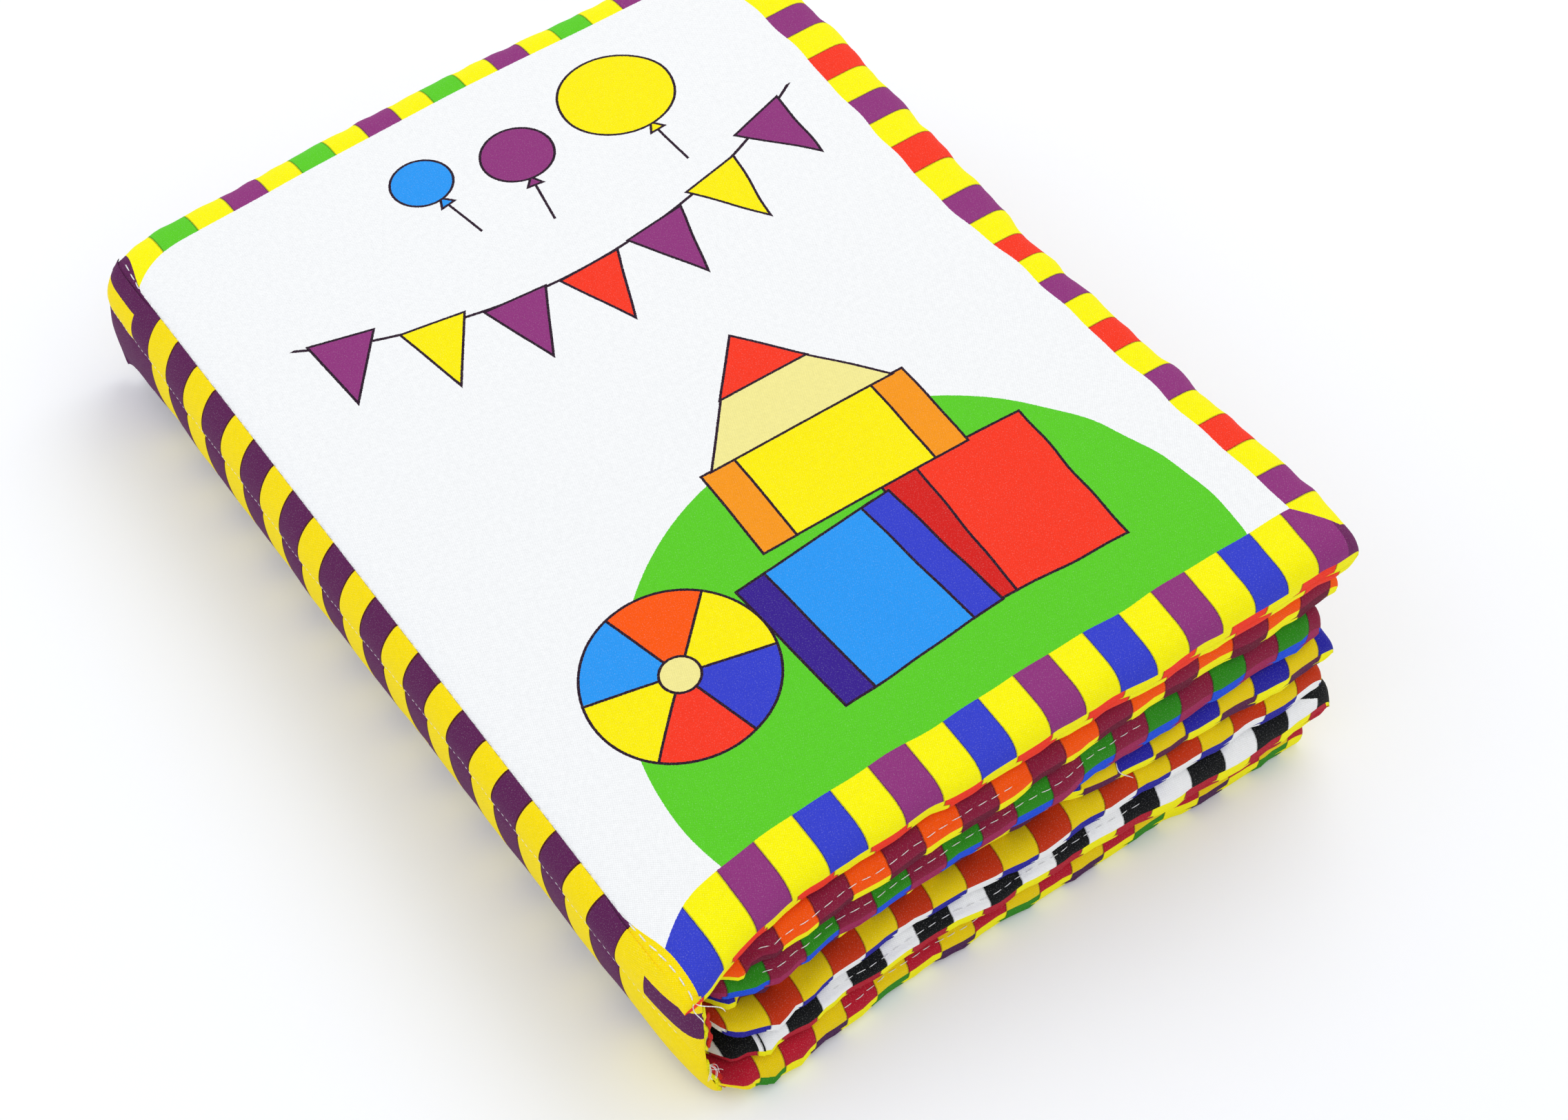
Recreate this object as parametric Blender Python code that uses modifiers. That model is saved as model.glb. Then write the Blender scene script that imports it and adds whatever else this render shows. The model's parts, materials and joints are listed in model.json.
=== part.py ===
# Baby soft book, closed and lying on its back cover.
#
# Seven padded leaves (two covers and five inner leaves) are sewn along three stitch lines of a soft
# padded spine. Every leaf is two printed cotton faces sewn together round a sheet of wadding.
# Frame: X runs from the spine to the fore edge, Y from the tail to the head, Z up. The origin is in
# the middle of the footprint, on the surface that the book lies on. Sizes are in metres.
import math
from collections import namedtuple

import bmesh
import bpy
import numpy as np
from mathutils import Vector

# Driving sizes of the book
BOOK_LENGTH = 0.190        # leaf corners, tail to head
BOOK_WIDTH = 0.141         # front stitch line to the outermost fore edge
SPINE_STACK = 0.0315       # height of the closed leaves beside the spine
FORE_STACK = 0.0575        # height of the closed leaves at the fore edge

# Driving sizes of the cloth and its wadding
CLOTH = 0.0006             # one printed cotton face
CLEARANCE = 0.0003         # running gap between pieces that touch
TONGUE = 0.0050            # flat sewn strip from a stitch line to the shoulder
SHOULDER = 0.0068          # run over which a leaf swells from its tongue
EDGE_ROLL = 0.0036         # run over which a leaf's edge turns down to its seam
CORNER_RUN = 0.0110        # stretch of edge that a rounded corner takes up
CORNER_PULL = 0.0034       # how far a corner is pulled in
DRAW_IN = 0.0020           # how far a side is drawn in between its corners
COVER_CROWN = 0.0018       # swell of the front cover's middle
WADDING_INSET = 0.0012     # wadding stops this far inside a seam
WADDING_START = 0.0012     # wadding starts this far past the shoulder
LEAF_ROOM = 0.0004         # stitch line to the end of a leaf's tongue

# Driving sizes of the spine
LOWEST_LINE = 0.0060       # height of the back stitch line
LINE_PITCH = 0.0103        # height from one stitch line to the next
LINE_SWAY = 0.0008         # the middle stitch line stands out past the front one
BACK_TUCK = 0.0020         # the back stitch line is tucked in under the front one
PANEL_BULGE = 0.0025       # swell of a spine panel past its chord
PANEL_STANDOFF = 0.0004    # stitch line to the inner face of a panel's lining
PANEL_DEPTH = 0.0015       # inner face of the lining to the chord of the outer cloth
PANEL_END_RUN = 0.0040     # stretch over which a panel's swell falls off at its ends
SPINE_OVERHANG = 0.0010    # spine cloth stands out past the leaf corners
FOLD_ROOM = 0.0003         # room from a fold to the panel end beside it
COVER_ROOM = 0.0015        # room from the front cover's tongue to the panel that it turns over

# Shares, chosen by hand. Leaves run from the front cover down to the back cover.
spine_height_shares = (0.149, 0.124, 0.137, 0.130, 0.130, 0.140, 0.190)
fore_height_shares = (0.180, 0.120, 0.165, 0.127, 0.132, 0.142, 0.134)
fore_setback_shares = (0.006, 0.016, 0.028, 0.008, 0.012, 0.0, 0.026)
end_setback_shares = (0.0, 0.006, 0.010, 0.004, 0.008, 0.002, 0.006)
roll_angle_shares = (0.0, 0.5, 1.0)
panel_end_share = 0.35
corner_power = 14
draw_power = 6

# Cells that a cloth, a crowned cover and a spine panel are divided into
LEAF_STEPS = 3
COVER_STEPS = 6
PANEL_ARC_STEPS = 6
PANEL_LENGTH_STEPS = 4

# Colours of the printed cloth, as linear red, green and blue
yellow = (0.92, 0.80, 0.01)
purple = (0.19, 0.03, 0.12)
white = (0.86, 0.86, 0.84)
orange = (0.95, 0.11, 0.01)
crimson = (0.28, 0.01, 0.05)
green = (0.03, 0.27, 0.02)
blue = (0.02, 0.08, 0.60)
navy = (0.02, 0.02, 0.30)
rust = (0.52, 0.04, 0.01)
black = (0.01, 0.01, 0.01)
wadding_white = (0.82, 0.82, 0.80)

# Worked out from the sizes above
HALF_TONGUE = CLOTH + CLEARANCE / 2
FOLD_STEP = 2 * HALF_TONGUE + CLEARANCE
MIDDLE_LINE = LOWEST_LINE + LINE_PITCH
FRONT_LINE = MIDDLE_LINE + LINE_PITCH
WADDING_SINK = CLOTH + CLEARANCE * 4 / 3

# One row a leaf: its body, its upper and lower cloth with their colours, the height of its stitch
# line and the line's place across, and the fold's place in that line's stack, in fold steps.
Row = namedtuple("Row", "body upper lower upper_colour lower_colour line across place")
leaf_rows = (
    Row("front_cover", "outer_fabric", "lining_fabric", white, yellow, FRONT_LINE, 0.0, 1.0),
    Row("leaf_1", "front_fabric", "back_fabric", orange, yellow, FRONT_LINE, 0.0, 0.0),
    Row("leaf_2", "front_fabric", "back_fabric", green, blue, FRONT_LINE, 0.0, -1.0),
    Row("leaf_3", "front_fabric", "back_fabric", navy, yellow, MIDDLE_LINE, -LINE_SWAY, 0.5),
    Row("leaf_4", "front_fabric", "back_fabric", rust, white, MIDDLE_LINE, -LINE_SWAY, -0.5),
    Row("leaf_5", "front_fabric", "back_fabric", black, yellow, LOWEST_LINE, BACK_TUCK, 0.5),
    Row("back_cover", "lining_fabric", "outer_fabric", crimson, white, LOWEST_LINE, BACK_TUCK, -0.5),
)


def smooth_step(t):
    """Runs from 0 to 1 with level ends."""
    t = np.clip(t, 0, 1)
    return t * t * (3 - 2 * t)


def layer_bounds(shares, stack):
    """Heights between the layers, top first.

    The stack starts half a clearance low, so that the lowest cloth lies at zero.
    """
    low = -CLEARANCE / 2
    rising = np.cumsum((0, *shares[::-1])) / sum(shares)
    return (low + rising * (stack - low))[::-1]


class Leaf:
    """Where one leaf's stitch line, layer and edges lie, with X from the front stitch line."""

    def __init__(self, index):
        row = leaf_rows[index]
        beside = layer_bounds(spine_height_shares, SPINE_STACK)
        at_edge = layer_bounds(fore_height_shares, FORE_STACK)
        self.row = row
        self.line_x = row.across
        self.line_z = row.line + row.place * FOLD_STEP
        self.full_x = self.line_x + TONGUE + SHOULDER
        self.beside = beside[index:index + 2]
        self.at_edge = at_edge[index:index + 2]
        self.reach = BOOK_WIDTH - fore_setback_shares[index] * FORE_STACK
        self.half_length = BOOK_LENGTH / 2 - end_setback_shares[index] * FORE_STACK
        self.is_front = index == 0

    def layer(self, x):
        """Middle height and half thickness of the layer, between straight lines to the fore edge."""
        t = x / BOOK_WIDTH
        top = self.beside[0] + t * (self.at_edge[0] - self.beside[0])
        bottom = self.beside[1] + t * (self.at_edge[1] - self.beside[1])
        return (top + bottom) / 2, (top - bottom - CLEARANCE) / 2

    def surface(self, x, y, roll_x, roll_y, side, sink):
        """A point of the leaf's outside, sunk towards the leaf's middle.

        The height follows the sewn tongue, then swells over the shoulder into the layer. Towards
        the seams it falls as a quarter ellipse. In plan the corners are pulled in and the sides
        are drawn in between them.
        """
        swell = smooth_step((x - self.line_x - TONGUE) / SHOULDER)
        middle, half = self.layer(np.maximum(x, self.full_x))
        middle = self.line_z + swell * (middle - self.line_z)
        across = np.clip((x - self.line_x) / (self.reach - self.line_x), 0, 1)
        along = y / self.half_length
        if side > 0 and self.is_front:
            half = half + COVER_CROWN * (1 - along ** 2) * (1 - (2 * across - 1) ** 2)
        height = HALF_TONGUE + swell * (half - HALF_TONGUE) * roll_x * roll_y - sink
        corner = CORNER_PULL * across ** corner_power * np.abs(along) ** corner_power
        sag_end = DRAW_IN * (1 - (2 * across - 1) ** 2) * np.abs(along) ** draw_power
        sag_fore = DRAW_IN * (1 - along ** 2) * across ** draw_power
        plan_x = x - corner - sag_fore
        plan_y = y - np.sign(y) * (corner + sag_end)
        return np.stack((plan_x, plan_y, middle + side * height), -1)


def edge_lines(length):
    """Distances in from an edge and the share of full height there, edge first."""
    angles = np.array(roll_angle_shares) * math.pi / 2
    return length * (1 - np.cos(angles)), np.sin(angles)


def cloth_grid(leaf, side, steps):
    """Points of a leaf's upper or lower cloth over its grid lines, as an X by Y array."""
    run, rise = edge_lines(EDGE_ROLL)
    inner_x = np.linspace(leaf.full_x, leaf.reach - CORNER_RUN, steps + 1)
    x = np.concatenate(((leaf.line_x + LEAF_ROOM, leaf.line_x + TONGUE), inner_x, leaf.reach - run[::-1]))
    roll_x = np.concatenate((np.ones(steps + 3), rise[::-1]))
    half = leaf.half_length
    inner_y = np.linspace(CORNER_RUN - half, half - CORNER_RUN, steps + 1)
    y = np.concatenate((run - half, inner_y, half - run[::-1]))
    roll_y = np.concatenate((rise, np.ones(steps + 1), rise[::-1]))
    x, y = np.meshgrid(x, y, indexing="ij")
    roll_x, roll_y = np.meshgrid(roll_x, roll_y, indexing="ij")
    return leaf.surface(x, y, roll_x, roll_y, side, 0)


def wadding_grid(leaf, side):
    """Points of a leaf's wadding, which starts past the shoulder and stops short of the seams."""
    run, rise = edge_lines(EDGE_ROLL)
    run = run[1:] + CLOTH + WADDING_INSET
    rise = rise[1:]
    inner_x = np.linspace(leaf.full_x + WADDING_START, leaf.reach - CORNER_RUN, LEAF_STEPS + 1)
    x = np.concatenate((inner_x, leaf.reach - run[::-1]))
    roll_x = np.concatenate((np.ones(LEAF_STEPS + 1), rise[::-1]))
    half = leaf.half_length
    inner_y = np.linspace(CORNER_RUN - half, half - CORNER_RUN, LEAF_STEPS + 1)
    y = np.concatenate((run - half, inner_y, half - run[::-1]))
    roll_y = np.concatenate((rise, np.ones(LEAF_STEPS + 1), rise[::-1]))
    x, y = np.meshgrid(x, y, indexing="ij")
    roll_x, roll_y = np.meshgrid(roll_x, roll_y, indexing="ij")
    return leaf.surface(x, y, roll_x, roll_y, side, WADDING_SINK)


class Panel:
    """A padded spine panel between two folds, with X from the front stitch line.

    top and bottom are the ends, as X and Z, of the inner face of its lining.
    """

    def __init__(self, name, top, bottom):
        self.name = name
        chord = np.array(bottom) - np.array(top)
        self.half = np.linalg.norm(chord) / 2
        self.along = chord / (2 * self.half)
        self.outward = np.array((self.along[1], -self.along[0]))
        self.middle = (np.array(bottom) + np.array(top)) / 2

    def chord(self, depth):
        """The two ends of a flat section, depth out from the lining's inner face."""
        middle = self.middle + depth * self.outward
        return np.array((middle - self.half * self.along, middle + self.half * self.along))

    def arc(self, inset):
        """The outer cloth's section, a circle's arc on its chord, moved in by inset."""
        radius = (self.half ** 2 + PANEL_BULGE ** 2) / (2 * PANEL_BULGE)
        centre = self.middle + (PANEL_DEPTH + PANEL_BULGE - radius) * self.outward
        reach = math.asin(self.half / radius)
        angles = np.linspace(-reach, reach, PANEL_ARC_STEPS + 1)[:, None]
        spacing = math.cos(reach / PANEL_ARC_STEPS)
        out = np.cos(angles) * self.outward + np.sin(angles) * self.along
        return centre + (radius - inset / spacing) * out

    def flattened(self, points, depth):
        """The points moved straight in, to depth out from the lining's inner face."""
        out = (points - self.middle) @ self.outward
        return points + (depth - out)[:, None] * self.outward


def panels():
    """The front panel, from the front line to the middle one, and the back panel under it."""
    front, upper, lower, back = Leaf(0), Leaf(3), Leaf(4), Leaf(5)
    top = front.line_z - HALF_TONGUE - COVER_ROOM
    front_top = (front.line_x - PANEL_STANDOFF, top)
    front_bottom = (upper.line_x - PANEL_STANDOFF, upper.line_z + FOLD_ROOM)
    back_top = (lower.line_x - PANEL_STANDOFF, lower.line_z - FOLD_ROOM)
    back_bottom = (back.line_x - PANEL_STANDOFF, back.line_z + FOLD_ROOM)
    return (
        Panel("spine_front_panel", front_top, front_bottom),
        Panel("spine_back_panel", back_top, back_bottom),
    )


def footprint_middle():
    """X half way from the outermost spine cloth to the outermost fore edge."""
    spine = min(panel.arc(0)[:, 0].min() for panel in panels())
    fore = max(cloth_grid(Leaf(i), 1, LEAF_STEPS)[..., 0].max() for i in range(len(leaf_rows)))
    return (spine + fore) / 2


def remove_scene_objects():
    """Starts from an empty scene."""
    for thing in list(bpy.data.objects):
        bpy.data.objects.remove(thing, do_unlink=True)


def cloth_material(name, colour):
    """Printed cotton or wadding: a matt dielectric."""
    material = bpy.data.materials.new(name)
    material.use_nodes = True
    shader = material.node_tree.nodes["Principled BSDF"]
    shader.inputs["Base Color"].default_value = (*colour, 1)
    shader.inputs["Roughness"].default_value = 0.9
    shader.inputs["Metallic"].default_value = 0
    material.diffuse_color = (*colour, 1)
    return material


def laid_grid(mesh, points):
    """Adds a grid of quads whose vertices are laid on points, an array of rows, columns and x y z."""
    rows, columns = points.shape[:2]
    made = bmesh.ops.create_grid(mesh, x_segments=rows - 1, y_segments=columns - 1, size=1)
    for vertex in made["verts"]:
        row = round((vertex.co.x + 1) / 2 * (rows - 1))
        column = round((vertex.co.y + 1) / 2 * (columns - 1))
        vertex.co = points[row, column]


def finish_object(name, mesh, colour, pivot):
    """Makes the object, hangs it on its body's fold and shades it smooth."""
    bmesh.ops.translate(mesh, verts=mesh.verts, vec=-Vector(pivot.location))
    data = bpy.data.meshes.new(name)
    mesh.to_mesh(data)
    mesh.free()
    data.shade_smooth()
    data.set_sharp_from_angle(angle=math.radians(50))
    data.materials.append(cloth_material(name, colour))
    thing = bpy.data.objects.new(name, data)
    thing.parent = pivot
    book_collection.objects.link(thing)
    return thing


def cloth_object(name, points, colour, pivot, outside):
    """A cloth: an open grid facing outside, given its thickness on the other side."""
    mesh = bmesh.new()
    laid_grid(mesh, points)
    bmesh.ops.recalc_face_normals(mesh, faces=mesh.faces)
    facing = sum(face.normal.dot(Vector(outside)) for face in mesh.faces)
    if facing < 0:
        bmesh.ops.reverse_faces(mesh, faces=mesh.faces)
    wall = finish_object(name, mesh, colour, pivot).modifiers.new("cloth", "SOLIDIFY")
    wall.thickness = CLOTH
    wall.offset = -1
    wall.use_even_offset = True
    wall.use_quality_normals = True


def wadding_object(name, lower, upper, pivot):
    """A sheet of wadding: two grids joined round their borders."""
    mesh = bmesh.new()
    laid_grid(mesh, lower)
    laid_grid(mesh, upper)
    borders = [edge for edge in mesh.edges if edge.is_boundary]
    bmesh.ops.bridge_loops(mesh, edges=borders)
    bmesh.ops.recalc_face_normals(mesh, faces=mesh.faces)
    finish_object(name, mesh, wadding_white, pivot)


def fold_pivot(leaf):
    """An empty on a leaf's fold, which the pieces of its body hang on."""
    pivot = bpy.data.objects.new(leaf.row.body + "_fold", None)
    pivot.location = (leaf.line_x + front_line_x, 0, leaf.line_z)
    book_collection.objects.link(pivot)
    return pivot


def leaf_objects(leaf, pivot):
    """Upper cloth, lower cloth and wadding of one leaf."""
    row = leaf.row
    place = np.array((front_line_x, 0, 0))
    steps = COVER_STEPS if leaf.is_front else LEAF_STEPS
    upper = cloth_grid(leaf, 1, steps) + place
    lower = cloth_grid(leaf, -1, LEAF_STEPS) + place
    cloth_object(f"{row.body}_{row.upper}", upper, row.upper_colour, pivot, (0, 0, 1))
    cloth_object(f"{row.body}_{row.lower}", lower, row.lower_colour, pivot, (0, 0, -1))
    wadding = [wadding_grid(leaf, side) + place for side in (-1, 1)]
    wadding_object(f"{row.body}_wadding", *wadding, pivot)


def along_spine(panel, section, y, swell):
    """Carries a section along Y, its swell past the chord falling off as told."""
    flat = panel.flattened(section, PANEL_DEPTH)
    points = flat[:, None] + swell[:, None] * (section - flat)[:, None]
    x = points[..., 0] + front_line_x
    return np.stack((x, np.broadcast_to(y, x.shape), points[..., 1]), -1)


def panel_objects(panel, pivot):
    """Outer cloth, lining and wadding of one spine panel."""
    half_length = BOOK_LENGTH / 2 + SPINE_OVERHANG
    run, rise = edge_lines(PANEL_END_RUN)
    full = np.linspace(-1, 1, PANEL_LENGTH_STEPS + 1) * (half_length - PANEL_END_RUN)
    y = np.concatenate((run[:-1] - half_length, full, half_length - run[-2::-1]))
    ends = panel_end_share + (1 - panel_end_share) * rise[:-1]
    swell = np.concatenate((ends, np.ones(len(full)), ends[::-1]))
    outer = along_spine(panel, panel.arc(0), y, swell)
    lining = along_spine(panel, panel.chord(CLOTH), y[[0, -1]], np.ones(2))
    cloth_object(panel.name + "_outer_fabric", outer, purple, pivot, (-1, 0, 0))
    cloth_object(panel.name + "_lining_fabric", lining, yellow, pivot, (-1, 0, 0))
    crest = panel.arc(CLOTH + CLEARANCE)[1:-1]
    base = panel.flattened(crest, CLOTH + CLEARANCE)
    wadding = [along_spine(panel, section, full, np.ones(len(full))) for section in (base, crest)]
    wadding_object(panel.name + "_wadding", *wadding, pivot)


remove_scene_objects()
book_collection = bpy.data.collections.new("baby_soft_book")
bpy.context.scene.collection.children.link(book_collection)
front_line_x = -footprint_middle()

pivots = {}
for number in range(len(leaf_rows)):
    book_leaf = Leaf(number)
    pivots[book_leaf.row.body] = fold_pivot(book_leaf)
    leaf_objects(book_leaf, pivots[book_leaf.row.body])

front_panel, back_panel = panels()
panel_objects(front_panel, pivots["leaf_3"])
panel_objects(back_panel, pivots["leaf_5"])
bpy.context.view_layer.update()
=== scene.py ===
"""Looks of the baby soft book: padded printed cotton leaves, a striped padded spine and its threads.

Lengths in the shape functions are in millimetres, with X from the front stitch line towards the fore
edge, Y from the tail to the head and Z up from the surface that the book lies on.
"""
import json
import math
from collections import namedtuple

import bpy
import numpy as np
from bpy.props import FloatProperty, FloatVectorProperty, PointerProperty
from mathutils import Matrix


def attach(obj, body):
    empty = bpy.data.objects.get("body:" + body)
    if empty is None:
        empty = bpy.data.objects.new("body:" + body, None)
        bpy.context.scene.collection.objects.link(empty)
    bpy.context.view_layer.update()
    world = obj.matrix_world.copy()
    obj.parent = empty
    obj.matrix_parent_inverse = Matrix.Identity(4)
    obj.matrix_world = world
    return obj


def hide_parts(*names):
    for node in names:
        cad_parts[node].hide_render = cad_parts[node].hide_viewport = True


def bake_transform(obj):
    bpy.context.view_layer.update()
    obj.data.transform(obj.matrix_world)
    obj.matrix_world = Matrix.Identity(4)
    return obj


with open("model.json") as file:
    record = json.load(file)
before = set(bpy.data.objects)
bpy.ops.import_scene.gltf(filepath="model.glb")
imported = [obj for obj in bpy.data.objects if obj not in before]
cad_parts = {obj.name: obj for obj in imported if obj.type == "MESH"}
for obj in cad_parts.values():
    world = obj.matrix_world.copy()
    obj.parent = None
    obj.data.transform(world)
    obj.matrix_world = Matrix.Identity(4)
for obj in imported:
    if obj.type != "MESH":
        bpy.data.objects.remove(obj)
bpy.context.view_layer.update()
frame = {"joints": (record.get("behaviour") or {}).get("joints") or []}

bl_info = {
    "name": "Baby soft book",
    "version": (1, 0, 0),
    "blender": (4, 5, 0),
    "location": "3D View > Sidebar > Soft book",
    "description": "Builds the padded leaves, the spine, the threads and the stage of a cloth book",
    "category": "Add Mesh",
}

MATH = "ShaderNodeMath"
VECTOR_MATH = "ShaderNodeVectorMath"
MIX = "ShaderNodeMixRGB"
MAP_RANGE = "ShaderNodeMapRange"
SEPARATE = "ShaderNodeSeparateXYZ"
NOISE = "ShaderNodeTexNoise"
FOLDS = {joint["child"]: joint["pos_m"] for joint in frame["joints"]}
LINE_X = FOLDS["front_cover"][0] * 1000

# Colours of the prints and threads, as sRGB hex values
YELLOW = "FFF800"
OCHRE = "EED004"
BLUE = "3742CE"
PURPLE = "92367E"
RED = "FB3A22"
GREEN = "5DD026"
ORANGE = "FF5A0A"
CRIMSON = "8A1C3E"
LEAF_GREEN = "2C8A18"
BRIGHT_BLUE = "1850E0"
NAVY = "2622A0"
RUST = "C6340C"
BLACK = "101214"
WHITE = "F8F9FA"
SPINE_PURPLE = "5E2054"
SPINE_YELLOW = "FFE400"
CREAM = "F6EC96"
AMBER = "FA9A1A"
SKY = "2A9AF6"
DARK = "2A1428"
LEMON = "FFF000"
SHADED_RED = "D8201C"
SHADED_BLUE = "3A2090"
HEM_RED = "D8281C"
CHERRY = "B81830"
RASPBERRY = "A02458"
MAROON = "6A1030"
PLUM = "5A1E48"
AUBERGINE = "4A1E50"
BAND_EDGE = "4A1418"

# A leaf's body and nodes, the X of its stitch line and the height of its fold in millimetres
Leaf = namedtuple("Leaf", "body upper_node lower_node line_x fold_z")
# Each leaf, front cover first: its body, the endings of its nodes' names above and below, and its
# shares of the stack's height beside the spine and at the fore edge
LEAF_TABLE = (
    ("front_cover", "outer_fabric", "lining_fabric", 0.149, 0.180),
    ("leaf_1", "front_fabric", "back_fabric", 0.124, 0.120),
    ("leaf_2", "front_fabric", "back_fabric", 0.137, 0.165),
    ("leaf_3", "front_fabric", "back_fabric", 0.130, 0.127),
    ("leaf_4", "front_fabric", "back_fabric", 0.130, 0.132),
    ("leaf_5", "front_fabric", "back_fabric", 0.140, 0.142),
    ("back_cover", "lining_fabric", "outer_fabric", 0.190, 0.134),
)
# Outlines of the leaves in plan. The tail edges' Y is given over X, the heads' Y over X, and the
# fore edges' X over Y.
TAIL_X = np.array((0, 8, 18, 34, 49, 62, 78, 95, 112, 130, 140))
TAIL_Y = np.array((
    (-101.0, -98.0, -95.0, -94.0, -94.1, -94.3, -94.5, -95.0, -95.6, -96.2, -96.4),
    (-86.0, -97.4, -98.3, -96.5, -96.8, -96.7, -95.8, -95.0, -95.0, -95.2, -95.6),
    (-86.0, -98.0, -99.6, -98.1, -97.9, -97.7, -97.7, -96.5, -96.2, -96.6, -96.8),
    (-84.0, -96.6, -97.4, -95.6, -94.9, -94.7, -95.3, -97.2, -97.3, -97.5, -97.6),
    (-85.0, -100.4, -102.0, -99.2, -98.2, -98.6, -99.1, -98.6, -98.2, -98.2, -98.2),
    (-89.0, -102.0, -103.2, -101.0, -100.2, -100.4, -99.8, -100.0, -100.3, -99.2, -99.0),
    (-98.0, -105.6, -105.2, -102.2, -100.7, -100.4, -99.6, -98.8, -98.4, -97.8, -97.8),
))
HEAD_X = np.array((0, 5, 12, 28, 42, 57, 72, 86, 100, 120, 140))
HEAD_Y = np.array((
    (92.2, 95.0, 95.4, 95.6, 96.4, 96.8, 97.0, 96.6, 95.8, 95.2, 95.4),
    (91.0, 92.5, 93.6, 94.6, 95.0, 95.2, 95.0, 94.6, 94.2, 94.0, 94.2),
    (91.4, 92.6, 93.4, 94.0, 94.2, 94.0, 94.0, 94.4, 94.6, 94.4, 94.2),
    (91.2, 92.4, 93.4, 94.2, 94.6, 94.8, 94.4, 94.0, 93.8, 94.0, 94.2),
    (91.4, 92.6, 93.2, 93.8, 93.8, 93.6, 93.8, 94.0, 94.2, 94.0, 93.8),
    (91.2, 92.2, 93.2, 94.0, 94.4, 94.2, 94.0, 93.8, 94.0, 94.4, 94.4),
    (91.0, 92.0, 93.0, 93.8, 94.0, 94.2, 94.4, 94.2, 94.0, 94.2, 94.4),
))
FORE_Y = np.array((-96, -76, -61, -40, -20, 0, 20, 40, 61, 96))
FORE_X = np.array((
    (140.2, 139.8, 139.4, 138.2, 137.5, 137.8, 139.0, 140.4, 141.2, 141.4),
    (138.8, 138.8, 138.6, 138.0, 137.2, 137.4, 138.2, 139.0, 139.6, 139.8),
    (136.6, 136.8, 137.0, 136.8, 136.4, 136.6, 137.2, 138.0, 138.6, 138.8),
    (141.2, 140.4, 139.6, 138.6, 138.0, 138.0, 138.4, 139.0, 139.6, 140.0),
    (140.4, 139.8, 139.2, 138.6, 138.2, 138.4, 138.8, 139.4, 140.0, 140.4),
    (144.2, 142.6, 141.0, 139.8, 139.2, 139.0, 139.4, 140.0, 140.6, 141.0),
    (140.6, 140.0, 139.2, 138.4, 138.0, 138.2, 138.6, 139.2, 139.8, 140.0),
))
# A plain leaf's reach from the stitch line and half its length, before its outline is drawn in
REACH = 139.0
HALF_LENGTH = 95.0
# The rows of topstitching that close leaves at the tail: leaf number, then first and last X. They
# lie on the rolled edge, at a share of its way from the flat to the seam.
TOPSTITCHES = {1: (16, 70), 2: (16, 96), 5: (30, 98), 6: (32, 64)}
TOPSTITCH_RUN = 0.45
# Rings of faces at a leaf's edge that the lower cotton covers, where it laps up over the seam
LAP = 2
# The stack's height beside the spine and at the fore edge, its width, and the gap between leaves
SPINE_STACK = 31.5
FORE_STACK = 57.5
STACK_WIDTH = 141.0
GAP = 0.3
# Spacing of the folds that share a stitch line, in metres
FOLD_PITCH = 0.0018
# How a leaf starts at its stitch line: half the sewn tongue's thickness, its width, and the run over
# which the leaf swells to its full thickness
HALF_TONGUE = 0.75
TONGUE = 2.0
SHOULDER = 10.5
# Distance from a leaf's outline to its rolled edge, and how far past upright the edge rolls, in degrees
SEAM_INSET = 0.5
TUCK = 12
EDGE_STEPS = 10
# Spread of the bell curves that round the outlines at the ends and at the fore edge
END_BLUR = 3.4
FORE_BLUR = 9.0
# Heights of the waves of the bounds between leaves: slow ones, and short ones at the spine's tail corner
SLOW_WAVE = 0.45
PINCH = 0.42
# Waves of the leaves' outlines in plan: at the tail, at the tail beside the spine, and at the fore edge
TAIL_WAVE = 0.30
CORNER_WAVE = 0.55
FORE_WAVE = 0.35
# How far the lower leaves' tongues draw back from the spine towards the tail
DRAW_BACK = 3.0
# Swell, unevenness and wrinkles of the front cover, with the wrinkles' middle and reach, and how far
# the crease at the stitch line runs
CROWN = 1.3
DENT = 0.10
WRINKLE = 0.22
WRINKLE_PLACE = (16, -78)
WRINKLE_REACH = 11
CREASE_RUN = 4.5
# The furrow that a row of topstitching draws: depth, and half its width as a share of the rolled edge
FURROW = 0.55
FURROW_SHARE = 0.16


def millimetres(metres):
    """A length property's value in millimetres."""
    return metres * 1000


def linear(hex_colour):
    """An sRGB hex colour as linear red, green, blue and alpha."""
    parts = np.array([int(hex_colour[i:i + 2], 16) for i in (0, 2, 4)]) / 255
    low = parts / 12.92
    high = ((parts + 0.055) / 1.055) ** 2.4
    return (*np.where(parts <= 0.04045, low, high), 1.0)


def add(tree, kind, *values, out=0, **settings):
    """Adds a node, sets or links its inputs in order, and gives its output socket."""
    made = tree.nodes.new(kind)
    for name, value in settings.items():
        setattr(made, name, value)
    for socket, value in zip(made.inputs, values):
        if isinstance(value, bpy.types.NodeSocket):
            tree.links.new(value, socket)
        elif value is not None:
            socket.default_value = value
    return made.outputs[out]


def maths(tree, operation, *values, **settings):
    """Adds a maths node of the given operation, and gives its output socket."""
    return add(tree, MATH, *values, operation=operation, **settings)


def squared(tree, value):
    """The square of a socket's value."""
    return maths(tree, "MULTIPLY", value, value)


def from_middle(tree, place):
    """Distance of a place from the middle of its band, which is 1 wide: 0 there and 0.5 at its edges."""
    return maths(tree, "ABSOLUTE", maths(tree, "SUBTRACT", maths(tree, "FRACT", place), 0.5))


def smooth_step(t):
    """Runs from 0 to 1 with level ends."""
    t = np.clip(t, 0, 1)
    return t * t * (3 - 2 * t)


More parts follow.
